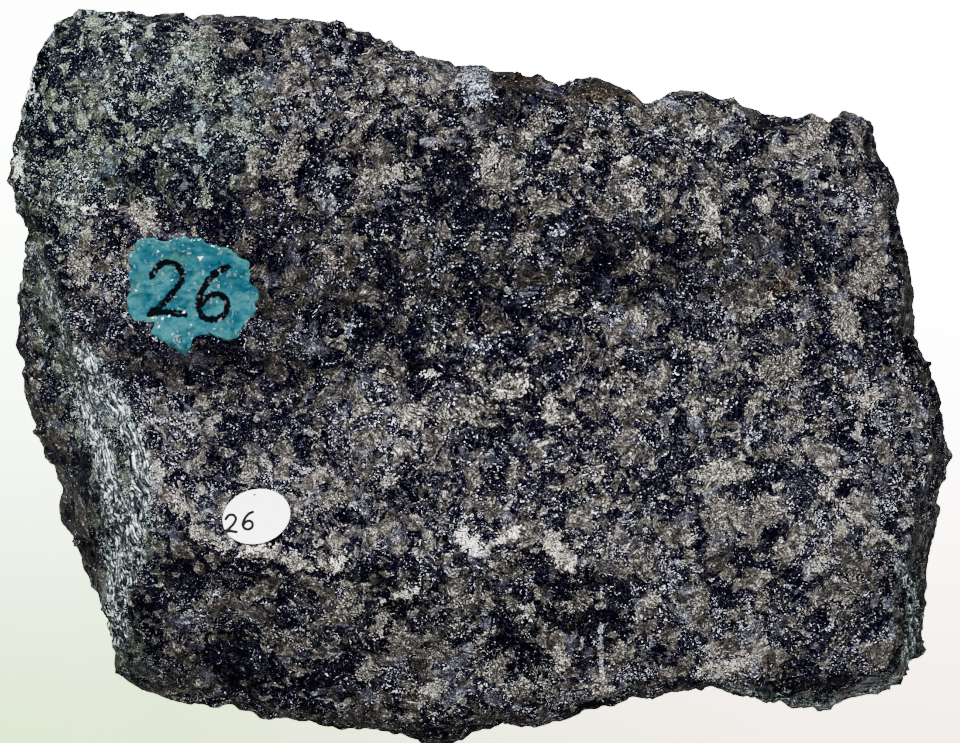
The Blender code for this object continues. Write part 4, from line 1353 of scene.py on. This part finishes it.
@dataclass(frozen=True)
class EnamelFinish:
    """Glossy turquoise enamel, brushed on thinly and numbered in black."""

    light: Colour = (0.012, 0.062, 0.072)
    deep: Colour = (0.003, 0.028, 0.042)
    green: Colour = (0.018, 0.056, 0.038)
    ink: Colour = (0.0006, 0.0006, 0.0012)
    # Noise: its size, its octaves, and how much of each octave the next one keeps.
    patch_noise: Numbers = (2.4, 4.0, 0.6)
    stroke_noise: Numbers = (0.6, 3.0)
    green_noise: Numbers = (3.6, 2.0)
    hole_noise: Numbers = (0.34, 3.0, 0.65)
    edge_noise: Numbers = (0.5, 3.0)
    lump_noise: Numbers = (1.1, 1.0)
    ripple_noise: Numbers = (0.5, 0.0)
    # How the patches waver, and how the brush strokes are squeezed along x and y.
    patch_waver: Pair = (2.0, 1.5)
    stroke_squeeze: tuple[float, float, float] = (0.45, 1.6, 1.0)
    # Between which two values each mask rises, and from what to what where that isn't 0 to 1.
    patch_rise: Pair = (0.35, 0.62)
    green_rise: Numbers = (0.52, 0.72, 0.0, 0.55)
    hole_rise: Pair = (0.29, 0.38)
    ink_rise: Pair = (-0.04, 0.06)
    thin_ink_rise: Numbers = (0.26, 0.38, 0.5, 1.0)
    # Weights in sums. One that is left over is added as it is.
    hole_weights: Numbers = (0.75, 0.25)
    edge_weights: Numbers = (0.8, -0.4)
    height_weights: Numbers = (0.5, 0.08)
    roughness_weights: Numbers = (0.16, 0.06)
    # The size and the amount of the dust.
    dust: Pair = (1.6, 0.5)
    specular_level: float = 0.15

    def material(self, grime: NodeTree) -> bpy.types.Material:
        """Builds the material.

        Args:
            grime: the group that gives dust.

        Returns:
            The material.
        """
        material, graph, shader = new_material("turquoise_enamel")
        place = graph.place()
        patches = graph.noise(graph.wavered(place, *self.patch_waver), *self.patch_noise)
        colour = graph.mix(graph.rise(patches, *self.patch_rise), self.deep, self.light)
        greener = graph.rise(graph.noise(place, *self.green_noise), *self.green_rise)
        colour = graph.mix(greener, colour, self.green)
        holes = graph.rise(graph.noise(place, *self.hole_noise), *self.hole_rise)
        colour = graph.scaled(colour, graph.weighted((holes,), self.hole_weights))

        strokes = graph.noise(graph.vector("MULTIPLY", place, self.stroke_squeeze), *self.stroke_noise)
        ragged = graph.weighted((graph.noise(place, *self.edge_noise),), self.edge_weights)
        inked = graph.rise(graph.math("ADD", graph.attribute("ink"), ragged), *self.ink_rise)
        inked = graph.math("MULTIPLY", inked, graph.rise(strokes, *self.thin_ink_rise))
        colour = graph.mix(inked, colour, self.ink)

        size, amount = self.dust
        dirt = graph.group(grime, {"Place": place, "Size": size, "Amount": amount})
        lumps = graph.noise(place, *self.lump_noise)
        ripples = graph.noise(place, *self.ripple_noise)
        height = graph.weighted((lumps, ripples), self.height_weights)
        graph.put(shader.inputs["Base Color"], graph.scaled(colour, dirt.outputs["Shade"]))
        roughness = graph.weighted((dirt.outputs["Mask"],), self.roughness_weights)
        graph.put(shader.inputs["Roughness"], roughness)
        graph.put(shader.inputs["Normal"], graph.bump(height))
        shader.inputs["Specular IOR Level"].default_value = self.specular_level
        return material


@dataclass(frozen=True)
class PaperFinish:
    """White matt paper, a little stained, with an inked number."""

    white: Colour = (0.97, 0.92, 0.92)
    ink: Colour = (0.0015, 0.0015, 0.0030)
    stain: Colour = (0.80, 0.52, 0.36)
    # The fibres' size, their octaves, and how much of each octave the next one keeps.
    fibre_noise: Numbers = (0.12, 3.0, 0.6)
    # Between which two values each one rises, and from what to what where that isn't 0 to 1.
    shade_rise: Numbers = (0.2, 0.8, 0.95, 1.03)
    roughness_rise: Numbers = (0.2, 0.8, 0.65, 0.8)
    stain_rise: Numbers = (-0.5, 0.3, 0.0, 0.35)
    ink_rise: Pair = (-0.03, 0.05)
    # The size and the amount of the dust.
    dust: Pair = (1.1, 0.16)
    # How high the fibres stand, and how much of that shows.
    fibre_height: float = 0.02
    bump_strength: float = 0.5
    specular_level: float = 0.05

    def material(self, grime: NodeTree) -> bpy.types.Material:
        """Builds the material.

        Args:
            grime: the group that gives dust.

        Returns:
            The material.
        """
        material, graph, shader = new_material("label_paper")
        place = graph.place()
        fibre = graph.noise(place, *self.fibre_noise)
        colour = graph.scaled(self.white, graph.rise(fibre, *self.shade_rise))
        colour = graph.mix(graph.rise(graph.attribute("stain"), *self.stain_rise), colour, self.stain)
        size, amount = self.dust
        dirt = graph.group(grime, {"Place": place, "Size": size, "Amount": amount})
        colour = graph.scaled(colour, dirt.outputs["Shade"])
        inked, flecks = (graph.rise(graph.attribute(name), *self.ink_rise) for name in ("ink", "fleck"))
        colour = graph.mix(graph.math("MAXIMUM", inked, flecks), colour, self.ink)
        height = graph.math("MULTIPLY", fibre, self.fibre_height)
        graph.put(shader.inputs["Base Color"], colour)
        graph.put(shader.inputs["Roughness"], graph.rise(fibre, *self.roughness_rise))
        graph.put(shader.inputs["Normal"], graph.bump(height, self.bump_strength))
        shader.inputs["Specular IOR Level"].default_value = self.specular_level
        return material


# Pieces


def make_piece(
    name: str,
    points: np.ndarray,
    triangles: np.ndarray,
    attributes: dict[str, np.ndarray],
    material: bpy.types.Material,
    node: str,
) -> bpy.types.Object:
    """Makes a piece of the object from its points, and puts it in the place of its solid.

    Args:
        name: the piece's name.
        points: n x 3 places, in millimetres from the middle of the photograph's view.
        triangles: m x 3 corners, facing outwards.
        attributes: a number for each point, by the attribute's name.
        material: its material.
        node: the solid that it replaces.

    Returns:
        The object, which rides on the only body.
    """
    mesh = bpy.data.meshes.new(name)
    mesh.from_pydata(((points - (*ORIGIN, 0)) * MM).tolist(), [], triangles.tolist())
    mesh.polygons.foreach_set("use_smooth", np.ones(len(triangles), bool))
    for attribute, values in attributes.items():
        mesh.attributes.new(attribute, "FLOAT", "POINT").data.foreach_set("value", values.astype(np.float32))
    mesh.materials.append(material)
    mesh.update()
    piece = bpy.data.objects.new(name, mesh)
    bpy.context.scene.collection.objects.link(piece)
    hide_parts(node)
    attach(piece, "root")
    log.info("%s: %d triangles", name, len(triangles))
    return piece


@dataclass
class Ground:
    """The stone's upper face as a grid of points, on which paint and paper lie."""

    grid: np.ndarray
    rounds: int = 14

    def at(self, place: np.ndarray) -> np.ndarray:
        """Points of the face at places between the grid's.

        Args:
            place: n rows and columns, with fractions.

        Returns:
            n x 3 points, each blended between the four around it.
        """
        last = np.array(self.grid.shape[:2]) - 2
        cell = np.clip(np.floor(place), 0, last).astype(int)
        row, column = (place - cell).T[..., None]
        i, j = cell.T
        upper = self.grid[i, j] * (1 - column) + self.grid[i, j + 1] * column
        lower = self.grid[i + 1, j] * (1 - column) + self.grid[i + 1, j + 1] * column
        return upper * (1 - row) + lower * row

    def height(self, plan: np.ndarray) -> np.ndarray:
        """Height of the face over points of the plan.

        Args:
            plan: n x 2 places.

        Returns:
            Heights. The place in the grid is found by stepping from a straight fit of the whole grid.
        """
        rows, columns = self.grid.shape[:2]
        places = np.indices((rows, columns)).reshape(2, -1).T
        terms = np.column_stack([self.grid[..., :2].reshape(-1, 2), np.ones(rows * columns)])
        fit = np.linalg.lstsq(terms, places, rcond=None)[0]
        place = np.column_stack([plan, np.ones(len(plan))]) @ fit
        for _ in range(self.rounds):
            place += (plan - self.at(place)[:, :2]) @ fit[:2]
        return self.at(place)[:, 2]

    def softened(self, reach: int) -> "Ground":
        """Calms the face.

        Args:
            reach: how many cells to each side are averaged.

        Returns:
            The same face with its points averaged over a square of the grid.
        """
        grid = self.grid
        for axis in (0, 1):
            pad = [(reach, reach) if i == axis else (0, 0) for i in range(3)]
            padded = np.pad(grid, pad, mode="edge")
            grid = np.lib.stride_tricks.sliding_window_view(padded, 2 * reach + 1, axis=axis).mean(axis=-1)
        return Ground(grid, self.rounds)


@dataclass
class BrokenStone:
    """The stone itself."""

    form: StoneForm = field(default_factory=StoneForm)
    surface: Break = field(default_factory=Break)
    marks: FaceMarks = field(default_factory=FaceMarks)
    finish: GabbroFinish = GabbroFinish()
    normal_rounds: int = 30

    def build(self) -> tuple[np.ndarray, np.ndarray]:
        """Works out the stone's points and triangles.

        Returns:
            The plain form, moved along its smoothed normals by the break's relief. The flat spot stays level.
        """
        form = self.form.build()
        points, triangles = form["points"], form["triangles"]
        normals = smooth_normals(points, triangles, self.normal_rounds)
        flat = form["under"] & (self.form.outside_flat_spot(points[:, :2]) <= 0)
        relief = np.where(flat, 0, self.surface.relief(points, form["fine"], form["broad"]))
        moved = points + normals * relief[:, None]
        moved[:, 2] = np.where(flat, 0, np.maximum(moved[:, 2], 0))
        return moved, triangles

    def ground(self, points: np.ndarray) -> Ground:
        """The upper face of the finished stone."""
        rows, columns = self.form.rows + 1, self.form.columns + 1
        return Ground(points[: rows * columns].reshape(rows, columns, 3))

    def dress(
        self, points: np.ndarray, triangles: np.ndarray, crystal_cells: NodeTree, grime: NodeTree
    ) -> bpy.types.Object:
        """Makes the piece, with an attribute for each kind of mark.

        Args:
            points: n x 3 places.
            triangles: m x 3 corners.
            crystal_cells: the group that gives crystals.
            grime: the group that gives dust.

        Returns:
            The object.
        """
        attributes = {mark.value: self.marks.attribute(mark, points) for mark in Mark}
        material = self.finish.material(crystal_cells, grime)
        return make_piece("broken_stone", points, triangles, attributes, material, "gabbro_stone")


@dataclass
class Number:
    """A plain two-figure number, written by hand with a round nib or a brush."""

    # The strokes of each figure in a box of height 1, x to the right and y up.
    figures: tuple[tuple[tuple[Place, ...], ...], ...] = (
        (
            ((0.04, 0.74), (0.20, 0.95), (0.44, 0.97), (0.60, 0.78), (0.52, 0.52), (0.28, 0.24),
             (0.03, 0.04)),
            ((0.03, 0.04), (0.34, 0.07), (0.68, 0.03)),
        ),
        (
            ((0.58, 0.97), (0.34, 0.84), (0.14, 0.56), (0.07, 0.28), (0.18, 0.06), (0.42, 0.01), (0.60, 0.16),
             (0.58, 0.38), (0.40, 0.48), (0.18, 0.38), (0.09, 0.22)),
        ),
    )
    # Lower left corner of each figure, in pixels of the photograph, and its height.
    corners: tuple[Place, Place] = ((148, 316), (194, 320))
    height: float = 54.0
    slant: float = 0.05
    stroke: float = 0.74
    curve_steps: int = 10

    def ink(self, plan: np.ndarray) -> np.ndarray:
        """Where the ink is.

        Args:
            plan: n x 2 places.

        Returns:
            How deep each lies inside the strokes, in millimetres, less than 0 outside them.
        """
        deepest = np.full(len(plan), -1.0)
        for figure, corner in zip(self.figures, self.corners):
            for stroke in figure:
                curve = curve_through(np.array(stroke), self.curve_steps)
                curve[:, 0] += self.slant * curve[:, 1]
                path = in_plan(np.array(corner) + curve * (self.height, -self.height))
                deepest = np.maximum(deepest, self.stroke / 2 - from_path(plan, path))
        return deepest


def disc(edge: np.ndarray, middle: np.ndarray, shares: np.ndarray) -> np.ndarray:
    """Rings of points that follow an edge, from the middle outwards.

    Args:
        edge: the edge's points about the middle.
        middle: the middle.
        shares: how far out each ring is, as a share of the way.

    Returns:
        The middle, then each ring's points: middle + share x edge.
    """
    rings = middle + shares[:, None, None] * edge
    return np.concatenate([[middle], rings.reshape(-1, 2)])


def disc_triangles(spokes: int, rings: int, first: int, turned: bool) -> np.ndarray:
    """The triangles of a disc.

    Args:
        spokes: points in each ring.
        rings: how many rings there are.
        first: the number of the middle point, which comes first.
        turned: whether they face down.

    Returns:
        m x 3 corners: a fan round the middle, and two triangles to each cell between the rings.
    """
    after = np.roll(np.arange(spokes), -1)
    ring = first + 1 + np.arange(rings)[:, None] * spokes + np.arange(spokes)
    next_in_ring = ring[:, after]
    fan = np.stack([np.full(spokes, first), ring[0], next_in_ring[0]], axis=1)
    inner, outer = ring[:-1], ring[1:]
    next_inner, next_outer = next_in_ring[:-1], next_in_ring[1:]
    bands = [
        np.stack(corners, axis=-1).reshape(-1, 3)
        for corners in ((inner, outer, next_outer), (inner, next_outer, next_inner))
    ]
    triangles = np.concatenate([fan, *bands])
    return triangles[:, ::-1] if turned else triangles


@dataclass
class Film:
    """A thin closed sheet that lies on the stone: an upper and a lower disc, joined at the edge."""

    # The piece's name, the solid that it replaces, its material slot, its finish and its number.
    piece: str
    node: str
    slot: str
    finish: "EnamelFinish | PaperFinish"
    number: Number
    # Its middle, and how many spokes and rings of points each disc has.
    middle: Place
    spokes: int
    rings: int

    def edge(self) -> np.ndarray:
        """The edge's points about the middle, anticlockwise."""
        raise NotImplementedError

    def attributes(self, plan: np.ndarray) -> dict[str, np.ndarray]:
        """Numbers for points of the plan, by the attribute's name."""
        return {"ink": self.number.ink(plan)}

    def heights(self, plan: np.ndarray, inside: np.ndarray, ground: Ground) -> tuple[np.ndarray, np.ndarray]:
        """The heights of the upper and the lower disc.

        Args:
            plan: n x 2 places.
            inside: how far each is from the edge.
            ground: what the film lies on.

        Returns:
            Upper and lower heights.
        """
        raise NotImplementedError

    def build(self, ground: Ground) -> tuple[np.ndarray, np.ndarray]:
        """Works out the film's shape.

        Args:
            ground: what it lies on.

        Returns:
            Points and triangles: the upper disc, the lower one, and the band between their edges.
        """
        edge = self.edge()
        shares = np.arange(1, self.rings + 1) / self.rings
        plan = disc(edge, np.array(self.middle), shares)
        reach = np.linalg.norm(edge, axis=1)
        inside = np.concatenate([[reach.min()], ((1 - shares)[:, None] * reach).ravel()])
        upper, lower = self.heights(plan, inside, ground)
        points = np.concatenate([np.column_stack([plan, upper]), np.column_stack([plan, lower])])
        count = len(plan)
        rim = count - self.spokes + np.arange(self.spokes)
        triangles = np.concatenate([
            disc_triangles(self.spokes, self.rings, 0, False),
            disc_triangles(self.spokes, self.rings, count, True),
            StoneForm.band(rim, rim + count)[:, ::-1],
        ])
        return points, triangles

    def dress(self, points: np.ndarray, triangles: np.ndarray, grime: NodeTree) -> bpy.types.Object:
        """Makes the piece, with its attributes.

        Args:
            points: n x 3 places.
            triangles: m x 3 corners.
            grime: the group that gives dust.

        Returns:
            The object.
        """
        attributes = self.attributes(points[:, :2])
        material = self.finish.material(grime)
        return make_piece(self.piece, points, triangles, attributes, material, self.node)


@dataclass
class EnamelDab(Film):
    """The brushed dab of turquoise enamel."""

    piece: str = "enamel_dab"
    node: str = "turquoise_paint_dab"
    slot: str = "turquoise_paint"
    finish: EnamelFinish = EnamelFinish()
    number: Number = field(default_factory=Number)
    middle: Place = (-32.8, 9.5)
    spokes: int = 300
    rings: int = 54
    outline: tuple[Place, ...] = (
        (7.5, 0.3), (6.9, 1.2), (6.6, 2.0), (6.6, 3.2), (5.6, 3.8), (4.6, 4.8), (3.3, 5.3), (1.8, 5.6),
        (1.0, 6.1), (-1.4, 6.3), (-2.1, 6.0), (-3.6, 6.0), (-4.7, 6.4), (-5.7, 6.1), (-6.3, 5.4), (-7.0, 4.0),
        (-7.0, 1.6), (-7.4, -0.9), (-7.2, -2.0), (-6.8, -3.0), (-5.3, -3.4), (-4.3, -3.6), (-4.6, -4.8),
        (-3.5, -5.6), (-2.4, -6.0), (-1.3, -6.7), (-0.4, -6.7), (0.3, -5.2), (0.9, -4.7), (2.9, -5.0),
        (3.8, -5.5), (4.8, -5.6), (5.8, -4.1), (6.8, -2.8), (7.4, -1.3),
    )
    curve_steps: int = 12
    # Small teeth of the edge: how far they reach, their size and their seed.
    ragged: float = 0.28
    teeth_size: float = 0.7
    teeth_seed: int = 61
    thickness: float = 0.12
    # Lumps in the paint: their height, their size and their seed.
    lump_height: float = 0.06
    lump_size: float = 0.8
    lump_seed: int = 67
    # The thick rim: its height, how far in from the edge it is, its half width, and where the rounding ends.
    rim: float = 0.06
    rim_at: float = 0.35
    rim_width: float = 0.25
    rounded_within: float = 0.3
    # The hollows that the paint fills: how far across, in cells of the stone's grid, and how much of each.
    fills_within: int = 1
    fills: float = 0.6
    # How far it soaks in, and how far its lower face is under the stone's.
    soaks_in: float = 0.04
    sunk: float = 0.15

    def edge(self) -> np.ndarray:
        """The dab's edge.

        Returns:
            The outline with rounded corners and small teeth, evenly spread, anticlockwise.
        """
        corners = np.array(self.outline)
        closed = np.concatenate([corners[-1:], corners, corners[:2]])
        curve = curve_through(closed, self.curve_steps)[self.curve_steps : -self.curve_steps]
        reached = np.concatenate([[0], np.cumsum(np.linalg.norm(np.diff(curve, axis=0), axis=1))])
        wanted = np.linspace(0, reached[-1], self.spokes, endpoint=False)
        edge = np.stack([np.interp(wanted, reached, curve[:, axis]) for axis in range(2)], axis=1)
        teeth = swell(np.column_stack([edge, np.zeros(len(edge))]), self.teeth_size, self.teeth_seed)
        return edge * (1 + self.ragged * teeth / np.linalg.norm(edge, axis=1))[:, None]

    def heights(self, plan: np.ndarray, inside: np.ndarray, ground: Ground) -> tuple[np.ndarray, np.ndarray]:
        """Thin paint that fills the hollows, with a thick rim that rounds down into the stone.

        Args:
            plan: n x 2 places.
            inside: how far each is from the edge.
            ground: what the paint lies on.

        Returns:
            Upper and lower heights. The upper one is the stone's, plus part of the hollows' depth, plus the
            paint, which falls to nothing at the edge with the square root of the way there.
        """
        stone = ground.height(plan)
        filled_in = np.maximum(ground.softened(self.fills_within).height(plan), stone)
        rounding = np.sqrt(np.clip(inside / self.rounded_within, 0, 1))
        lumps = swell(np.column_stack([plan, stone]), self.lump_size, self.lump_seed)
        rim = self.rim * np.exp(-(((inside - self.rim_at) / self.rim_width) ** 2))
        paint = (self.thickness + self.lump_height * lumps + rim) * rounding
        upper = stone + self.fills * (filled_in - stone) * rounding + paint - self.soaks_in
        return upper, np.minimum(stone, upper) - self.sunk

@dataclass
class PaperDot(Film):
    """The round paper sticker, on a slope, so that its plan is an oval."""

    piece: str = "paper_dot"
    node: str = "white_paper_sticker"
    slot: str = "white_paper"
    finish: PaperFinish = PaperFinish()
    number: Number = field(
        default_factory=lambda: Number(corners=((225, 532), (242, 529)), height=18.0, stroke=0.40)
    )
    middle: Place = (-25.4, -15.9)
    spokes: int = 160
    rings: int = 40
    diameter: float = 7.7
    slope: float = 38.0
    turn: float = 15.0
    thickness: float = 0.1
    # What share of the stone's highest bump raises the sheet, and how far it then lies clear of the stone.
    raised: float = 0.6
    clear: float = 0.06
    # The edge lifts off the stone towards this bearing, in degrees.
    lifted_towards: float = -55.0
    lift: float = 0.3
    stain_at: Place = (276, 527)
    flecks: tuple[tuple[float, float, float], ...] = (
        (255, 494.5, 0.16), (275, 501, 0.05), (278, 503, 0.05), (279, 508, 0.05), (267, 511, 0.04),
        (283, 525, 0.05), (259, 533, 0.05), (241, 494, 0.04), (242, 503, 0.04),
    )

    def edge(self) -> np.ndarray:
        """The dot's edge.

        Returns:
            An oval: the round dot seen from above, its long side turned.
        """
        around = np.linspace(0, 2 * np.pi, self.spokes, endpoint=False)
        along = self.diameter / 2 * np.cos(around)
        across = self.diameter / 2 * np.cos(np.radians(self.slope)) * np.sin(around)
        turn = np.radians(self.turn)
        x = along * np.cos(turn) - across * np.sin(turn)
        y = along * np.sin(turn) + across * np.cos(turn)
        return np.stack([x, y], axis=1)

    def heights(self, plan: np.ndarray, inside: np.ndarray, ground: Ground) -> tuple[np.ndarray, np.ndarray]:
        """Stiff paper that lies over the stone, with one side lifting.

        Args:
            plan: n x 2 places.
            inside: how far each is from the edge; not used.
            ground: what the paper lies on.

        Returns:
            Upper and lower heights. The lower one is the quadric that fits the stone best, raised, or the
            stone where that is higher, plus the lift, which grows with the cube of the way to its side.
        """
        stone = ground.height(plan)
        away = plan - self.middle
        terms = np.column_stack([np.ones(len(plan)), away, away**2, away.prod(axis=1)])
        sheet = terms @ np.linalg.lstsq(terms, stone, rcond=None)[0]
        sheet += (stone - sheet).max() * self.raised
        bearing = np.radians(self.lifted_towards)
        towards = away @ (np.cos(bearing), np.sin(bearing)) / (self.diameter / 2)
        lower = np.maximum(sheet, stone) + self.clear + self.lift * np.clip(towards, 0, 1) ** 3
        return lower + self.thickness, lower

    def attributes(self, plan: np.ndarray) -> dict[str, np.ndarray]:
        """The number, the distance to the stain and the depth inside the flecks, for points of the plan."""
        flecks = [radius - np.linalg.norm(plan - in_plan((x, y)), axis=1) for x, y, radius in self.flecks]
        return {
            "ink": self.number.ink(plan),
            "stain": -np.linalg.norm(plan - in_plan(self.stain_at), axis=1),
            "fleck": np.max(flecks, axis=0),
        }


@dataclass
class Studio:
    """A pale floor, a large soft lamp behind the stone, two weak ones, a dim sky and the camera above."""

    camera_height: float = 3500.0
    in_focus: float = 25.0
    sensor: float = 36.0
    floor_half: float = 3000.0
    floor_colour: Colour = (0.03, 0.03, 0.03)
    floor_roughness: float = 0.9
    # What the camera sees the floor glow with, at its corners: left and right, below and above.
    glow_below: tuple[Colour, Colour] = ((2.2, 3.6, 1.2), (6.4, 5.0, 4.3))
    glow_above: tuple[Colour, Colour] = ((13.0, 15.0, 13.0), (22.0, 22.0, 22.0))
    glow_reach: Place = (56.0, 44.0)
    # The lamps: x, y, z, diameter and power in watts. The first is the main one.
    lamps: tuple[Numbers, ...] = (
        (-240.0, 660.0, 830.0, 350.0, 74.0),
        (700.0, -500.0, 550.0, 500.0, 17.0),
        (-700.0, -500.0, 550.0, 500.0, 7.5),
    )
    sky: Colour = (0.93, 0.97, 1.0)
    sky_strength: float = 0.2

    def build(self) -> None:
        """Adds the floor, the lamps, the sky and the camera."""
        self.add_floor()
        self.add_lamps()
        self.add_sky()
        self.add_camera()

    def add_floor(self) -> None:
        """A plane with a pale glow that only the camera sees, so it throws hardly any light on the stone."""
        half = self.floor_half * MM
        mesh = bpy.data.meshes.new("studio_floor")
        corners = [(-half, -half, 0), (half, -half, 0), (half, half, 0), (-half, half, 0)]
        mesh.from_pydata(corners, [], [(0, 1, 2, 3)])
        floor = bpy.data.objects.new("studio_floor", mesh)
        bpy.context.scene.collection.objects.link(floor)
        material, graph, shader = new_material("pale_floor")
        shader.inputs["Roughness"].default_value = self.floor_roughness
        shader.inputs["Base Color"].default_value = (*self.floor_colour, 1.0)
        place = graph.add("ShaderNodeSeparateXYZ", {"Vector": graph.place()})
        across, up = (
            graph.rise(place.outputs[axis], -reach, reach) for axis, reach in zip("XY", self.glow_reach)
        )
        glow = graph.mix(up, graph.mix(across, *self.glow_below), graph.mix(across, *self.glow_above))
        graph.put(shader.inputs["Emission Color"], glow)
        seen = graph.add("ShaderNodeLightPath").outputs["Is Camera Ray"]
        graph.put(shader.inputs["Emission Strength"], seen)
        mesh.materials.append(material)

    def add_lamps(self) -> None:
        """The soft round lamps, each aimed at the stone."""
        for x, y, z, diameter, power in self.lamps:
            data = bpy.data.lights.new("soft_lamp", "AREA")
            data.shape = "DISK"
            data.size = diameter * MM
            data.energy = power
            lamp = bpy.data.objects.new("soft_lamp", data)
            lamp.location = Vector((x, y, z)) * MM
            lamp.rotation_euler = (-lamp.location).to_track_quat("-Z", "Y").to_euler()
            bpy.context.scene.collection.objects.link(lamp)

    def add_sky(self) -> None:
        """An even sky that fills the shadows."""
        world = bpy.data.worlds.new("studio_sky")
        world.use_nodes = True
        background = world.node_tree.nodes["Background"]
        background.inputs["Color"].default_value = (*self.sky, 1.0)
        background.inputs["Strength"].default_value = self.sky_strength
        bpy.context.scene.world = world

    def add_camera(self) -> None:
        """A camera that looks straight down and frames what the photograph does."""
        wide = PHOTO_SIZE[0] / PHOTO_SCALE
        data = bpy.data.cameras.new("photo_camera")
        data.sensor_width = self.sensor
        data.lens = self.sensor * self.camera_height / wide
        camera = bpy.data.objects.new("photo_camera", data)
        x, y = in_plan(np.array(PHOTO_SIZE) / 2) - ORIGIN
        camera.location = Vector((x, y, self.in_focus + self.camera_height)) * MM
        bpy.context.scene.collection.objects.link(camera)
        bpy.context.scene.camera = camera


def main() -> None:
    """Builds the stone, the dab, the dot and the studio."""
    logging.basicConfig(level=logging.INFO, format="%(message)s")
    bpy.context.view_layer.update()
    crystal_cells = crystal_cells_group()
    grime = grime_group()

    stone = BrokenStone()
    points, triangles = stone.build()
    stone.dress(points, triangles, crystal_cells, grime)
    ground = stone.ground(points)
    for film in (EnamelDab(), PaperDot()):
        film.dress(*film.build(ground), grime)
    Studio().build()


if __name__ == "__main__":
    main()
